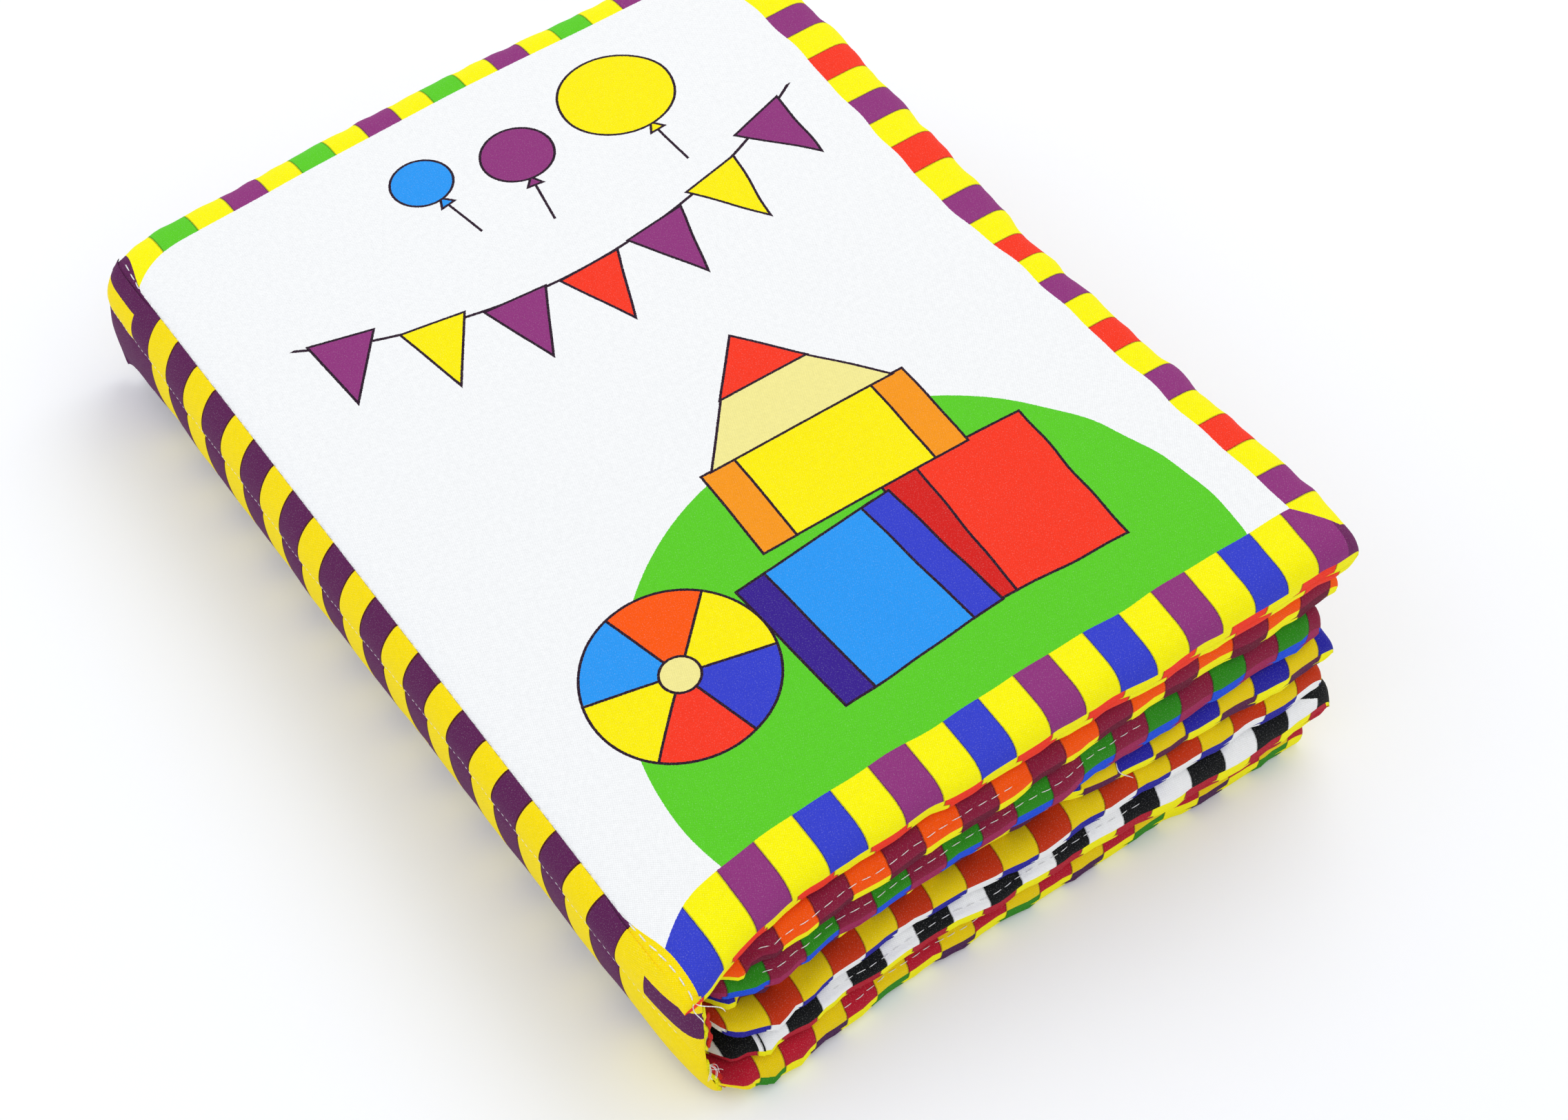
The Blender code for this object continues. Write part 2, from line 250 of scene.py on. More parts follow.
def waves(seed, x, y, lengths):
    """Soft unevenness: a sum of sine waves of the given lengths with seeded directions and phases."""
    draw = np.random.default_rng(seed)
    total = 0
    for length in lengths:
        turn, phase = draw.uniform(0, 2 * math.pi, 2)
        total = total + np.sin((x * np.cos(turn) + y * np.sin(turn)) * 2 * math.pi / length + phase)
    return total / math.sqrt(len(lengths))


def near_knots(knots, values, place, blur=9.0):
    """A soft curve past the knots: straight lines between them, rounded by a bell curve of the blur."""
    shifts = np.linspace(-2, 2, 9)
    weight = np.exp(-shifts ** 2)
    moved = np.asarray(place)[..., None] + shifts * blur
    return (np.interp(moved, knots, values) * weight).sum(-1) / weight.sum()


def edge_waves(seed, s, lengths):
    """Soft unevenness along one edge: a sum of sine waves with seeded phases."""
    draw = np.random.default_rng(seed)
    total = 0
    for length in lengths:
        total = total + np.sin(s * 2 * math.pi / length + draw.uniform(0, 2 * math.pi))
    return total / math.sqrt(len(lengths))


def layer_heights():
    """Heights of the bounds between the leaves, top first, beside the spine and at the fore edge."""
    bounds = []
    for column, stack in ((3, SPINE_STACK), (4, FORE_STACK)):
        shares = np.array([row[column] for row in LEAF_TABLE])
        rising = np.concatenate(((0,), np.cumsum(shares[::-1]))) / shares.sum()
        bounds.append((rising * stack)[::-1])
    return bounds


BESIDE_SPINE, AT_FORE_EDGE = layer_heights()


def bound_height(index, x, y):
    """Height of the bound over leaf number index: a straight fan from the spine to the fore edge.

    Bounds between leaves undulate, more towards the tail and the head, and both leaves follow the
    same bound, so they never cross.
    """
    t = x / STACK_WIDTH
    height = BESIDE_SPINE[index] + t * (AT_FORE_EDGE[index] - BESIDE_SPINE[index])
    if 0 < index < len(LEAF_TABLE):
        along = np.abs(y) / HALF_LENGTH
        lift = waves(40 + index, x, y, (34, 47, 61, 83))
        height = height + SLOW_WAVE * lift * (0.35 + 0.65 * along ** 4) * smooth_step(x / 14)
        pinched = smooth_step((-y - 72) / 20) * smooth_step((x - 3) / 5) * smooth_step((36 - x) / 24)
        height = height + PINCH * pinched * edge_waves(120 + index, x, (6.3, 8.9, 12.7))
    return height


def rolled_edge(radius, tuck, steps):
    """A seam's profile: distance out from the start of the roll, and the share of height left.

    The cloth follows an ellipse, made fuller by a power below 1, over the edge and on past upright
    by the angle tuck, down to its seam, so it bulges past the seam.
    """
    fullness = 0.86
    tuck = math.radians(tuck)
    angle = np.linspace(0, math.pi / 2 + tuck, steps + 1)
    drop = np.sign(np.cos(angle)) * np.abs(np.cos(angle)) ** fullness
    low = math.sin(tuck) ** fullness
    share = (drop + low) / (1 + low)
    return radius * np.sin(angle) ** fullness, share


def grid_normals(points):
    """Unit normals of a grid of points, along rows crossed with along columns."""
    across = np.gradient(points, axis=0)
    along = np.gradient(points, axis=1)
    normal = np.cross(across, along)
    return normal / np.maximum(np.linalg.norm(normal, axis=-1, keepdims=True), 1e-9)


def arc_lengths(points):
    """Running length along a line of points."""
    return np.concatenate(((0,), np.cumsum(np.linalg.norm(np.diff(points, axis=0), axis=-1))))


def leaf_of(index):
    """The leaf's names, with its fold's place read from the frame."""
    body, upper, lower = LEAF_TABLE[index][:3]
    fold = FOLDS.get(body) or (FOLDS["leaf_5"][0], 0, FOLDS["leaf_5"][2] - FOLD_PITCH)
    return Leaf(body, f"{body}_{upper}", f"{body}_{lower}", fold[0] * 1000 - LINE_X, fold[2] * 1000)


def leaf_side(index, side, inner, sizes):
    """Points of one face of a padded leaf over a grid of X lines by Y lines, with its UV lines.

    A point's height is the seam's height plus or minus the face's swell. The swell is the tongue's
    near the stitch line, smoothly steps up to the layer's over the shoulder, and is multiplied by
    the rolled edges' shares of height towards the seams. In plan the outline follows the leaf's
    own soft curves, and the corners are pulled in by high powers.
    """
    leaf = leaf_of(index)
    out, share = rolled_edge(sizes["roll"] if side > 0 else sizes["under_roll"], TUCK, EDGE_STEPS)
    start_out, start_share = rolled_edge(0.6, 0, 3)
    x_start = leaf.line_x + (0.3 if index == 0 and side > 0 else 1.0)
    shoulder = x_start + np.array((0.4, 0.9, 1.5, 2.2, 3, 4, 5, 6, 7, 8, 9.2, 10.6))
    ring = REACH - SEAM_INSET - out[-1]
    flat = np.linspace(TONGUE + SHOULDER + 0.1, ring, inner[0])
    x = np.concatenate((x_start - start_out[::-1][:-1], (x_start,), shoulder, flat, ring + out[1:]))
    share_x = np.concatenate((start_share[::-1][:-1], np.ones(1 + len(shoulder) + len(flat)), share[1:]))
    ring = HALF_LENGTH - SEAM_INSET - out[-1]
    flat_y = np.linspace(-ring, ring, inner[1])
    y = np.concatenate(((-ring - out[1:])[::-1], flat_y, ring + out[1:]))
    share_y = np.concatenate((share[1:][::-1], np.ones(len(flat_y)), share[1:]))
    rise = np.linspace(0, 1, EDGE_STEPS + 1)[1:]
    run_x = np.concatenate((np.zeros(len(x) - EDGE_STEPS), rise))
    run_y = np.concatenate((rise[::-1], np.zeros(len(flat_y)), rise))
    plan = np.meshgrid(x, y, indexing="ij")
    shares = np.meshgrid(share_x, share_y, indexing="ij")
    runs = np.meshgrid(run_x, run_y, indexing="ij")
    points = leaf_points(index, leaf, side, plan, shares, runs, sizes)
    u = arc_lengths(points[:, len(y) // 2])
    u = u - np.interp(0.0, points[:, len(y) // 2, 0], u)
    v = arc_lengths(points[len(x) * 3 // 4])
    return points, u, v


def outlined(index, x, y):
    """Plan places moved so that the leaf's edges lie on its own outline."""
    across = np.clip(x / REACH, 0, 1)
    along = y / HALF_LENGTH
    tail = near_knots(TAIL_X, TAIL_Y[index], x, END_BLUR) + HALF_LENGTH
    head = near_knots(HEAD_X, HEAD_Y[index], x, END_BLUR) - HALF_LENGTH
    fore = near_knots(FORE_Y, FORE_X[index], y, FORE_BLUR) - REACH
    tail = tail + TAIL_WAVE * edge_waves(90 + 7 * index, x, (13, 19, 29, 43))
    if index:
        near_spine = smooth_step((34 - x) / 24)
        tail = tail + CORNER_WAVE * near_spine * edge_waves(150 + index, x, (5.7, 7.9, 10.3))
    fore = fore + FORE_WAVE * edge_waves(60 + 5 * index, y, (12, 17, 27, 45))
    plan_y = y + tail * np.clip(-along, 0, 1) ** 3 + head * np.clip(along, 0, 1) ** 3
    start = DRAW_BACK * smooth_step((-y - 20) / 60) * (1 - across) ** 6 if index > 2 else 0
    return x + fore * across ** 3 + start, plan_y


def cover_swell(x, y, along, across, crease):
    """Rise of the front cover's face: its crown, the crease at the stitch line, dents and wrinkles.

    The crown is a product of two parabolas, and the wrinkles are sine waves under a round bell curve.
    """
    crown = CROWN * (1 - along ** 2) * (1 - (2 * across - 1) ** 2)
    dip = crease * np.clip(1 - x / CREASE_RUN, 0, 1) ** 3
    dent = DENT * waves(7, x, y, (31, 42, 55, 71, 23)) * smooth_step(x / 12)
    reach = np.hypot(x - WRINKLE_PLACE[0], y - WRINKLE_PLACE[1])
    ripple = np.sin(0.42 * (x + 0.7 * y) + 0.05 * x * np.sin(y / 7))
    return crown - dip + dent + WRINKLE * np.exp(-(reach / WRINKLE_REACH) ** 2) * ripple


def leaf_points(index, leaf, side, plan, shares, runs, sizes):
    """The leaf's surface at the given plan places, as leaf_side's docstring tells."""
    x, y = plan
    along = y / HALF_LENGTH
    across = np.clip((x - leaf.line_x) / (REACH - leaf.line_x), 0, 1)
    corner = sizes["corner"] * across ** 26 * np.abs(along) ** 30
    plan_x, plan_y = outlined(index, x, y)
    plan_x = plan_x - corner
    plan_y = plan_y - np.sign(along) * corner
    top = bound_height(index, plan_x, plan_y) - (GAP / 2 if index else 0)
    bottom = bound_height(index + 1, plan_x, plan_y) + (GAP / 2 if index < len(LEAF_TABLE) - 1 else 0)
    seam = bottom + sizes["seam_share"] * (top - bottom)
    swell = smooth_step((x - leaf.line_x - TONGUE) / SHOULDER)
    seam_z = leaf.fold_z + swell * (seam - leaf.fold_z)
    full = HALF_TONGUE + swell * ((top - seam if side > 0 else seam - bottom) - HALF_TONGUE)
    if index == 0 and side > 0:
        full = top + cover_swell(x, y, along, across, sizes["crease"]) - seam_z
    height = full * shares[0] * shares[1]
    points = np.stack((plan_x, plan_y, seam_z + side * height), -1)
    if index in TOPSTITCHES and side > 0:
        first, last = TOPSTITCHES[index]
        along_row = smooth_step((x - first + 6) / 6) * smooth_step((last + 6 - x) / 6) * (y < 0)
        height = height - FURROW * along_row * np.exp(-((runs[1] - TOPSTITCH_RUN) / FURROW_SHARE) ** 2)
        points[..., 2] = seam_z + side * height
    pucker = np.sin(np.pi * runs[0]) * edge_waves(20 + index, y, (5.1, 6.7, 8.3, 11))
    pucker = pucker + np.sin(np.pi * runs[1]) * edge_waves(30 + index, x, (4.9, 6.1, 8.9, 12))
    spread = sizes["pucker"] * pucker
    return points + side * spread[..., None] * grid_normals(points)


# Orders of a face's corners in a shell's upper and lower grid
UPWARD = (0, 1, 2, 3)
DOWNWARD = (3, 2, 1, 0)


def closed_shell(upper, lower):
    """Vertices and quads of two grids that share their border, the lower one turned over."""
    rows, columns = upper.shape[:2]
    number = np.arange(rows * columns).reshape(rows, columns)
    under = number.copy()
    inside = (rows - 2) * (columns - 2)
    under[1:-1, 1:-1] = rows * columns + np.arange(inside).reshape(rows - 2, columns - 2)
    points = np.concatenate((upper.reshape(-1, 3), lower[1:-1, 1:-1].reshape(-1, 3)))
    quads = []
    for table, order in ((number, UPWARD), (under, DOWNWARD)):
        corners = (table[:-1, :-1], table[1:, :-1], table[1:, 1:], table[:-1, 1:])
        quads.append(np.stack([corners[k].ravel() for k in order], -1))
    return points, np.concatenate(quads)


def make_piece(name, points, faces, materials, uv=None, face_material=None, sharp=60):
    """A mesh object at the origin from points in millimetres, X from the front stitch line."""
    mesh = bpy.data.meshes.new(name)
    place = (points + np.array((LINE_X, 0, 0))) / 1000
    mesh.from_pydata(place.tolist(), [], faces if isinstance(faces, list) else faces.tolist())
    for material in materials:
        mesh.materials.append(material)
    if face_material is not None:
        mesh.polygons.foreach_set("material_index", np.asarray(face_material, np.int32))
    if uv is not None:
        layer = mesh.uv_layers.new(name="cloth_mm")
        layer.data.foreach_set("uv", np.asarray(uv, np.float32).ravel())
    mesh.shade_smooth()
    mesh.set_sharp_from_angle(angle=math.radians(sharp))
    mesh.validate()
    thing = bpy.data.objects.new(name, mesh)
    bpy.context.scene.collection.objects.link(thing)
    return thing


def grid_uv(u, v, order):
    """UV of each corner of a grid's quads, with the corners in the given order."""
    gu, gv = np.meshgrid(u, v, indexing="ij")
    both = np.stack((gu, gv), -1)
    corners = (both[:-1, :-1], both[1:, :-1], both[1:, 1:], both[:-1, 1:])
    return np.stack([corners[k].reshape(-1, 2) for k in order], 1).reshape(-1, 2)


def ramp(tree, place, colours):
    """A colour that steps through equal bands as place goes from 0 to 1."""
    made = tree.nodes.new("ShaderNodeValToRGB")
    made.color_ramp.interpolation = "CONSTANT"
    stops = made.color_ramp.elements
    while len(stops) > 1:
        stops.remove(stops[-1])
    stops[0].position = 0
    stops[0].color = linear(colours[0])
    for k, colour in enumerate(colours[1:], 1):
        stop = stops.new(k / len(colours))
        stop.color = linear(colour)
    tree.links.new(place, made.inputs[0])
    return made.outputs[0]


def cloth_position(tree):
    """The cloth's own U and V in millimetres, a little ragged from thread to thread."""
    uv = add(tree, "ShaderNodeUVMap", uv_map="cloth_mm")
    rag = add(tree, NOISE, uv, None, 3.4, 1.0, out=1, noise_dimensions="2D")
    rag = add(tree, VECTOR_MATH, rag, (0.5, 0.5, 0.5), operation="SUBTRACT")
    rag = add(tree, VECTOR_MATH, rag, None, None, 0.16, operation="SCALE")
    moved = add(tree, VECTOR_MATH, uv, rag, operation="ADD")
    split = add(tree, SEPARATE, moved)
    return split, split.node.outputs[1], moved


# Each band of a print has a darker line at its ends: where it starts, and how much darker it is
LINE_SHARE = 0.475
LINE_DARKNESS = 0.45
# How the filling pulls the cover's print out of square, in millimetres of U and V. Blocks are wider
# than the pitch on the spine's side of one U and narrower past it, up to a limit.
EVEN_AT = 66.0
STRETCH = 0.00072
STRETCH_LIMIT = 141.0
# The fore edge's blocks shift along V round one place
SHIFT_AT = 100.0
SHIFT_REACH = 16.0
SHIFT = 3.3
# Its border is narrower before the first V by the third value, and wider past the second by the fourth
STEP = (88.0, 106.0, 1.4, -1.2)
# How far from the spine the tail's and head's borders bend
BEND_RUN = 13


def bands(tree, place, phase, cycle, pitch):
    """Blocks of the cycle's colours along one side, with a darker line at both ends of each."""
    moved = maths(tree, "SUBTRACT", place, phase)
    share = maths(tree, "FRACT", maths(tree, "DIVIDE", moved, pitch * len(cycle)))
    edge = from_middle(tree, maths(tree, "DIVIDE", moved, pitch))
    edge = maths(tree, "GREATER_THAN", edge, LINE_SHARE)
    edge = maths(tree, "MULTIPLY_ADD", edge, -LINE_DARKNESS, 1.0)
    return add(tree, VECTOR_MATH, ramp(tree, share, cycle), None, None, edge, operation="SCALE")


def pulled(tree, u, v, low_v):
    """Places along the sides of a print that is pulled out of square: a parabola in U, a bell in V."""
    past = squared(tree, maths(tree, "SUBTRACT", u, EVEN_AT))
    along_u = maths(tree, "MULTIPLY_ADD", past, STRETCH, u)
    near = squared(tree, maths(tree, "DIVIDE", maths(tree, "SUBTRACT", v, SHIFT_AT), SHIFT_REACH))
    near = maths(tree, "POWER", math.e, maths(tree, "MULTIPLY", near, -1.0))
    return maths(tree, "MINIMUM", along_u, STRETCH_LIMIT), maths(tree, "MULTIPLY_ADD", near, SHIFT, low_v)


def block_border(tree, u, v, size, print_):
    """Colour of a border of blocks along three sides, and the mask where it lies."""
    from_fore = maths(tree, "SUBTRACT", size[0], u)
    from_head = maths(tree, "SUBTRACT", size[1], v)
    along_u, low_v = u, maths(tree, "MAXIMUM", v, print_["corner"])
    if print_["drawn"]:
        along_u, low_v = pulled(tree, u, v, low_v)
    tail, fore, head = [bands(tree, place, print_[f"{side}_phase"], print_[side], print_["pitch"])
                        for place, side in ((along_u, "tail"), (low_v, "fore"), (along_u, "head"))]
    slope, least = print_["mitre"]
    mitre = maths(tree, "MAXIMUM", maths(tree, "MULTIPLY", from_fore, slope), least)
    is_end = maths(tree, "LESS_THAN", maths(tree, "MINIMUM", v, from_head), mitre)
    is_head = maths(tree, "LESS_THAN", from_head, v)
    colour = add(tree, MIX, is_end, fore, add(tree, MIX, is_head, tail, head))
    near_spine = squared(tree, maths(tree, "MULTIPLY_ADD", u, -1 / BEND_RUN, 1.0, use_clamp=True))
    low_tail = maths(tree, "MULTIPLY_ADD", near_spine, print_["bend"], v)
    low_head = maths(tree, "MULTIPLY_ADD", near_spine, -print_["head_bend"], from_head)
    if print_["drawn"]:
        step = add(tree, MAP_RANGE, v, *STEP, interpolation_type="SMOOTHSTEP")
        from_fore = maths(tree, "ADD", from_fore, step)
    inside = [maths(tree, "SUBTRACT", distance, width)
              for distance, width in zip((low_tail, from_fore, low_head), print_["widths"])]
    nearest = maths(tree, "MINIMUM", maths(tree, "MINIMUM", inside[0], inside[1]), inside[2])
    return colour, maths(tree, "LESS_THAN", nearest, 0.0)


def weave(tree, uv, colour):
    """Plain woven cotton: threads that cross over and under, with lighter specks between them.

    Two sine waves across each other give the threads. Their spacing is that of a sheeting cotton. The colour
    is painted darker where the threads dip under and lighter where they cross over, as painted shade and
    painted light of the weave's relief; the slub adds a random tone on top.
    """
    spacing = 0.42
    relief = 0.00006
    ridges = []
    split = add(tree, SEPARATE, uv)
    for socket in (split, split.node.outputs[1]):
        ridges.append(maths(tree, "SINE", maths(tree, "MULTIPLY", socket, 2 * math.pi / spacing)))
    over = maths(tree, "MULTIPLY", *ridges)
    slub = add(tree, NOISE, uv, None, 0.9, 3.0, noise_dimensions="2D")
    fleck = add(tree, NOISE, uv, None, 4.4, 1.0, noise_dimensions="2D")
    height = maths(tree, "MULTIPLY_ADD", fleck, 0.8, maths(tree, "MULTIPLY", over, 0.5))
    light = add(tree, MAP_RANGE, fleck, 0.60, 0.80, 0.0, 0.11)
    tint = add(tree, MIX, light, colour, (0.8, 0.8, 0.78, 1), blend_type="SCREEN")
    # painted shade in the weave's dips and painted light on its crossings: the colour follows the bump's
    # height
    shade = add(tree, MAP_RANGE, over, -1.0, 1.0, 0.86, 1.06)
    shade = maths(tree, "MULTIPLY", shade, add(tree, MAP_RANGE, slub, 0.3, 0.7, 0.98, 1.015))
    shaded = add(tree, VECTOR_MATH, tint, None, None, shade, operation="SCALE")
    return shaded, add(tree, "ShaderNodeBump", 0.5, relief, None, height)


def finish_cloth(tree, colour, bump, roughness=0.86):
    """Puts the colour and the bump on matt cotton with a little fibre sheen."""
    shader = tree.nodes["Principled BSDF"]
    tree.links.new(colour, shader.inputs["Base Color"])
    tree.links.new(bump, shader.inputs["Normal"])
    shader.inputs["Roughness"].default_value = roughness
    shader.inputs["Specular IOR Level"].default_value = 0.12
    shader.inputs["Sheen Weight"].default_value = 0.03
    shader.inputs["Sheen Roughness"].default_value = 0.5


def new_material(name):
    """An empty node material."""
    material = bpy.data.materials.new(name)
    material.use_nodes = True
    return material, material.node_tree


def shape_distance(tree, kind, local, half):
    """Signed distance in millimetres from a printed shape's outline, at places counted from its middle.

    A disc's is the distance from the middle less the radius, a box's the larger of the distances
    past its half sizes, a triangle's the largest distance past its three edges, and an arc's the
    distance from a circle less half its width, which ends below a level.
    """
    if kind in ("disc", "ball", "arc"):
        reach = add(tree, VECTOR_MATH, local, operation="LENGTH", out=1)
        distance = maths(tree, "SUBTRACT", reach, half[0])
        if kind != "arc":
            return distance
        split = add(tree, SEPARATE, local)
        distance = maths(tree, "ABSOLUTE", distance)
        distance = maths(tree, "SUBTRACT", distance, 0.05)
        low = maths(tree, "SUBTRACT", half[1], split.node.outputs[1])
        return maths(tree, "MAXIMUM", distance, low)
    split = add(tree, SEPARATE, local)
    wide = maths(tree, "ABSOLUTE", split)
    if kind == "box":
        tall = maths(tree, "ABSOLUTE", split.node.outputs[1])
        beside = maths(tree, "SUBTRACT", wide, half[0])
        beyond = maths(tree, "SUBTRACT", tall, half[1])
    else:
        slope = math.hypot(half[0], 2 * half[1])
        beside = maths(tree, "MULTIPLY", wide, 2 * half[1] / slope)
        lift = maths(tree, "SUBTRACT", split.node.outputs[1], half[1])
        beside = maths(tree, "MULTIPLY_ADD", lift, half[0] / slope, beside)
        beyond = maths(tree, "MULTIPLY_ADD", split.node.outputs[1], -1.0, -half[1])
    return maths(tree, "MAXIMUM", beside, beyond)


def ball_colour(tree, local, colours):
    """A ball's panels: sectors round its middle, and the distance from the lines between them."""
    split = add(tree, SEPARATE, local)
    angle = maths(tree, "ARCTAN2", split, split.node.outputs[1])
    share = maths(tree, "MULTIPLY_ADD", angle, 1 / (2 * math.pi), 0.5)
    near = from_middle(tree, maths(tree, "MULTIPLY", share, len(colours)))
    reach = add(tree, VECTOR_MATH, local, operation="LENGTH", out=1)
    near = maths(tree, "MULTIPLY", maths(tree, "SUBTRACT", 0.5, near), reach)
    return ramp(tree, share, colours), maths(tree, "MULTIPLY", near, 2 * math.pi / len(colours))


def picture_shapes(tree, position, base, shapes):
    """Lays printed shapes over a base colour, each filled and given a thin dark outline.

    A shape is its kind, middle, half sizes, turn, colour or colours, and whether it is outlined.
    """
    colour = base
    for kind, middle, half, turn, fill, outlined_ in shapes:
        local = add(tree, "ShaderNodeMapping", position, (*middle, 0), (0, 0, math.radians(turn)),
                    vector_type="TEXTURE")
        distance = shape_distance(tree, kind, local, half)
        inside = maths(tree, "LESS_THAN", distance, 0.0)
        line = maths(tree, "ABSOLUTE", distance)
        if kind == "ball":
            paint, seam = ball_colour(tree, local, fill)
            seam = maths(tree, "ADD", seam, maths(tree, "MAXIMUM", distance, 0.0))
            line = maths(tree, "MINIMUM", line, seam)
        else:
            paint = linear(fill)
        colour = add(tree, MIX, inside, colour, paint)
        if outlined_:
            line = maths(tree, "LESS_THAN", line, 0.25)
            colour = add(tree, MIX, line, colour, linear(DARK))
    return colour


def bunting(middle, radius, places, colours):
    """Flags on a sagging string, which is the lower arc of a circle. Each hangs from its base."""
    flags = []
    half = (6.2, 8)
    for k, u in enumerate(places):
        lean = math.asin((u - middle[0]) / radius)
        place = (u - 0.5 * half[1] * math.sin(lean), middle[1] - radius * math.cos(lean) - half[1])
        turn = 180 + math.degrees(lean) * 0.6
        flags.append(("triangle", place, half, turn, colours[k % len(colours)], True))
    return flags


def balloon(middle, radius, colour, lean):
    """A round balloon with its knot and a short string, which hang below it along the lean."""
    turn = math.radians(lean)
    down = np.array((math.sin(turn), -math.cos(turn)))
    knot_half, string_half = (1.5, 1.2), (0.01, 5)
    knot = tuple(np.array(middle) + down * (radius + 0.8))
    string = tuple(np.array(middle) + down * (radius + 6.6))
    return (
        ("box", string, string_half, lean, DARK, True),
        ("triangle", knot, knot_half, lean, colour, True),
        ("disc", middle, (radius,), 0, colour, True),
    )


COVER_SHAPES = (
    ("disc", (71, 26), (54,), 0, GREEN, False),
    ("box", (99, 44), (11, 16), -4, RED, True),
    ("box", (84.6, 45), (3.6, 16), -4, SHADED_RED, True),
    ("box", (68, 43), (12, 15), 3, SKY, True),
    ("box", (53.4, 42.2), (3, 15), 3, SHADED_BLUE, True),
    ("box", (80.4, 43.6), (3, 15), 3, BLUE, True),
    ("box", (80, 70), (17, 10), -2, LEMON, True),
    ("box", (61.6, 70.6), (3.4, 10), -2, AMBER, True),
    ("box", (97, 69.4), (3.4, 10), -2, AMBER, True),
    ("triangle", (80, 91.8), (19, 12), -2, CREAM, True),
    ("triangle", (80.2, 98.2), (9.2, 5.8), -2, RED, True),
    ("ball", (33, 49), (17,), 14, (RED, LEMON, SKY, ORANGE, LEMON, BLUE), True),
    ("disc", (33, 49), (3.6,), 0, CREAM, True),
    ("arc", (70, 232), (98, 82), 180, DARK, True),
    *bunting((70, 232), 98, (20, 36.5, 53, 69.5, 86, 102.5, 119), (PURPLE, LEMON, PURPLE, RED)),
    *balloon((97, 168), 11, LEMON, 4),
    *balloon((74, 166), 7, PURPLE, -10),
    *balloon((56, 171), 6, SKY, 8),
)


def page_shapes(index, side):
    """A page's picture for naming shapes and colours: one big outlined shape in each of its quarters."""
    draw = np.random.default_rng(200 + 2 * index + side)
    palette = draw.permutation((RED, LEMON, GREEN, BLUE, PURPLE, ORANGE, SKY))
    shapes = []
    for k, kind in enumerate(draw.permutation(("disc", "box", "triangle", "ball"))):
        middle = (40 + 62 * (k % 2) + draw.uniform(-4, 4), 52 + 90 * (k // 2) + draw.uniform(-7, 7))
        half = draw.uniform(16, 22)
        fill = tuple(str(colour) for colour in palette[:6]) if kind == "ball" else str(palette[k])
        shapes.append((str(kind), middle, (half, half * 0.85), draw.uniform(-14, 14), fill, True))
    return shapes


# The spine's bands: Y of the first one's start, the width of a pair, and how many pairs there are
FIRST_BAND = 74.0
BAND_PAIR = 14.306
BAND_PAIRS = 11.0


def stripes(tree, y):
    """The spine cotton's bands across: yellow and purple by turns, with a thin dark line between them.

    Past the first band it is plain purple, and past the last one plain yellow.
    """
    moved = maths(tree, "SUBTRACT", FIRST_BAND, y)
    pair = maths(tree, "DIVIDE", moved, BAND_PAIR)
    share = maths(tree, "FRACT", pair)
    colour = ramp(tree, share, (SPINE_YELLOW, SPINE_PURPLE))
    past_head = maths(tree, "LESS_THAN", moved, 0.0)
    past_tail = maths(tree, "GREATER_THAN", pair, BAND_PAIRS)
    for past, plain in ((past_head, SPINE_PURPLE), (past_tail, SPINE_YELLOW)):
        colour = add(tree, MIX, past, colour, linear(plain))
    line = from_middle(tree, maths(tree, "MULTIPLY", share, 2.0))
    line = maths(tree, "GREATER_THAN", line, LINE_SHARE)
    line = maths(tree, "SUBTRACT", line, maths(tree, "MAXIMUM", past_head, past_tail), use_clamp=True)
    return add(tree, MIX, line, colour, linear(BAND_EDGE))


def height_along(tree):
    """The object's own Y in millimetres."""
    place = add(tree, "ShaderNodeTexCoord", out=3)
    split = add(tree, SEPARATE, place)
    return maths(tree, "MULTIPLY", split.node.outputs[1], 1000.0)


def fold_strip(tree, u, colour, width):
    """Adds the spine's striped cotton where it laps over the cover's back edge, wider at both ends."""
    y = height_along(tree)
    from_y, to_y, wider = 80.0, 93.0, width + 2.5
    far = maths(tree, "ABSOLUTE", y)
    wide = add(tree, MAP_RANGE, far, from_y, to_y, width, wider, interpolation_type="SMOOTHSTEP")
    return add(tree, MIX, maths(tree, "LESS_THAN", u, wide), colour, stripes(tree, y))


def printed_cotton(name, size, print_, shapes, strip=0):
    """Printed sheeting cotton: matt, with a fine plain weave that shows in the raking light."""
    material, tree = new_material(name)
    u, v, position = cloth_position(tree)
    border, mask = block_border(tree, u, v, size, print_)
    colour = add(tree, MIX, mask, picture_shapes(tree, position, linear(WHITE), shapes), border)
    if strip:
        colour = fold_strip(tree, u, colour, strip)
    finish_cloth(tree, *weave(tree, position, colour))
    return material


def block_print(colours, phase=0.0, widths=(12.0, 11.0, 11.0), pitch=7.25, bend=0.0, head_bend=0.0,
                corner=7.0, tail=None, fore=None, head=None, fore_phase=6.0, head_phase=None,
                mitre=(1.12, 0.0), drawn=False):
    """A border's colours and sizes in millimetres. One cycle serves all three sides if none is given.

    The widths are the tail's, the fore edge's and the head's. The mitre is the slope of the corner's
    joint line and the least V that it reaches. A drawn print is one that the filling pulls out of
    square: its blocks widen towards the spine, and its fore border steps wider half way up.
    """
    return {
        "tail": tail or colours,
        "fore": fore or colours,
        "head": head or colours,
        "pitch": pitch,
        "widths": widths,
        "bend": bend,
        "head_bend": head_bend,
        "corner": corner,
        "mitre": mitre,
        "drawn": drawn,
        "tail_phase": phase,
        "fore_phase": fore_phase,
        "head_phase": phase if head_phase is None else head_phase,
    }


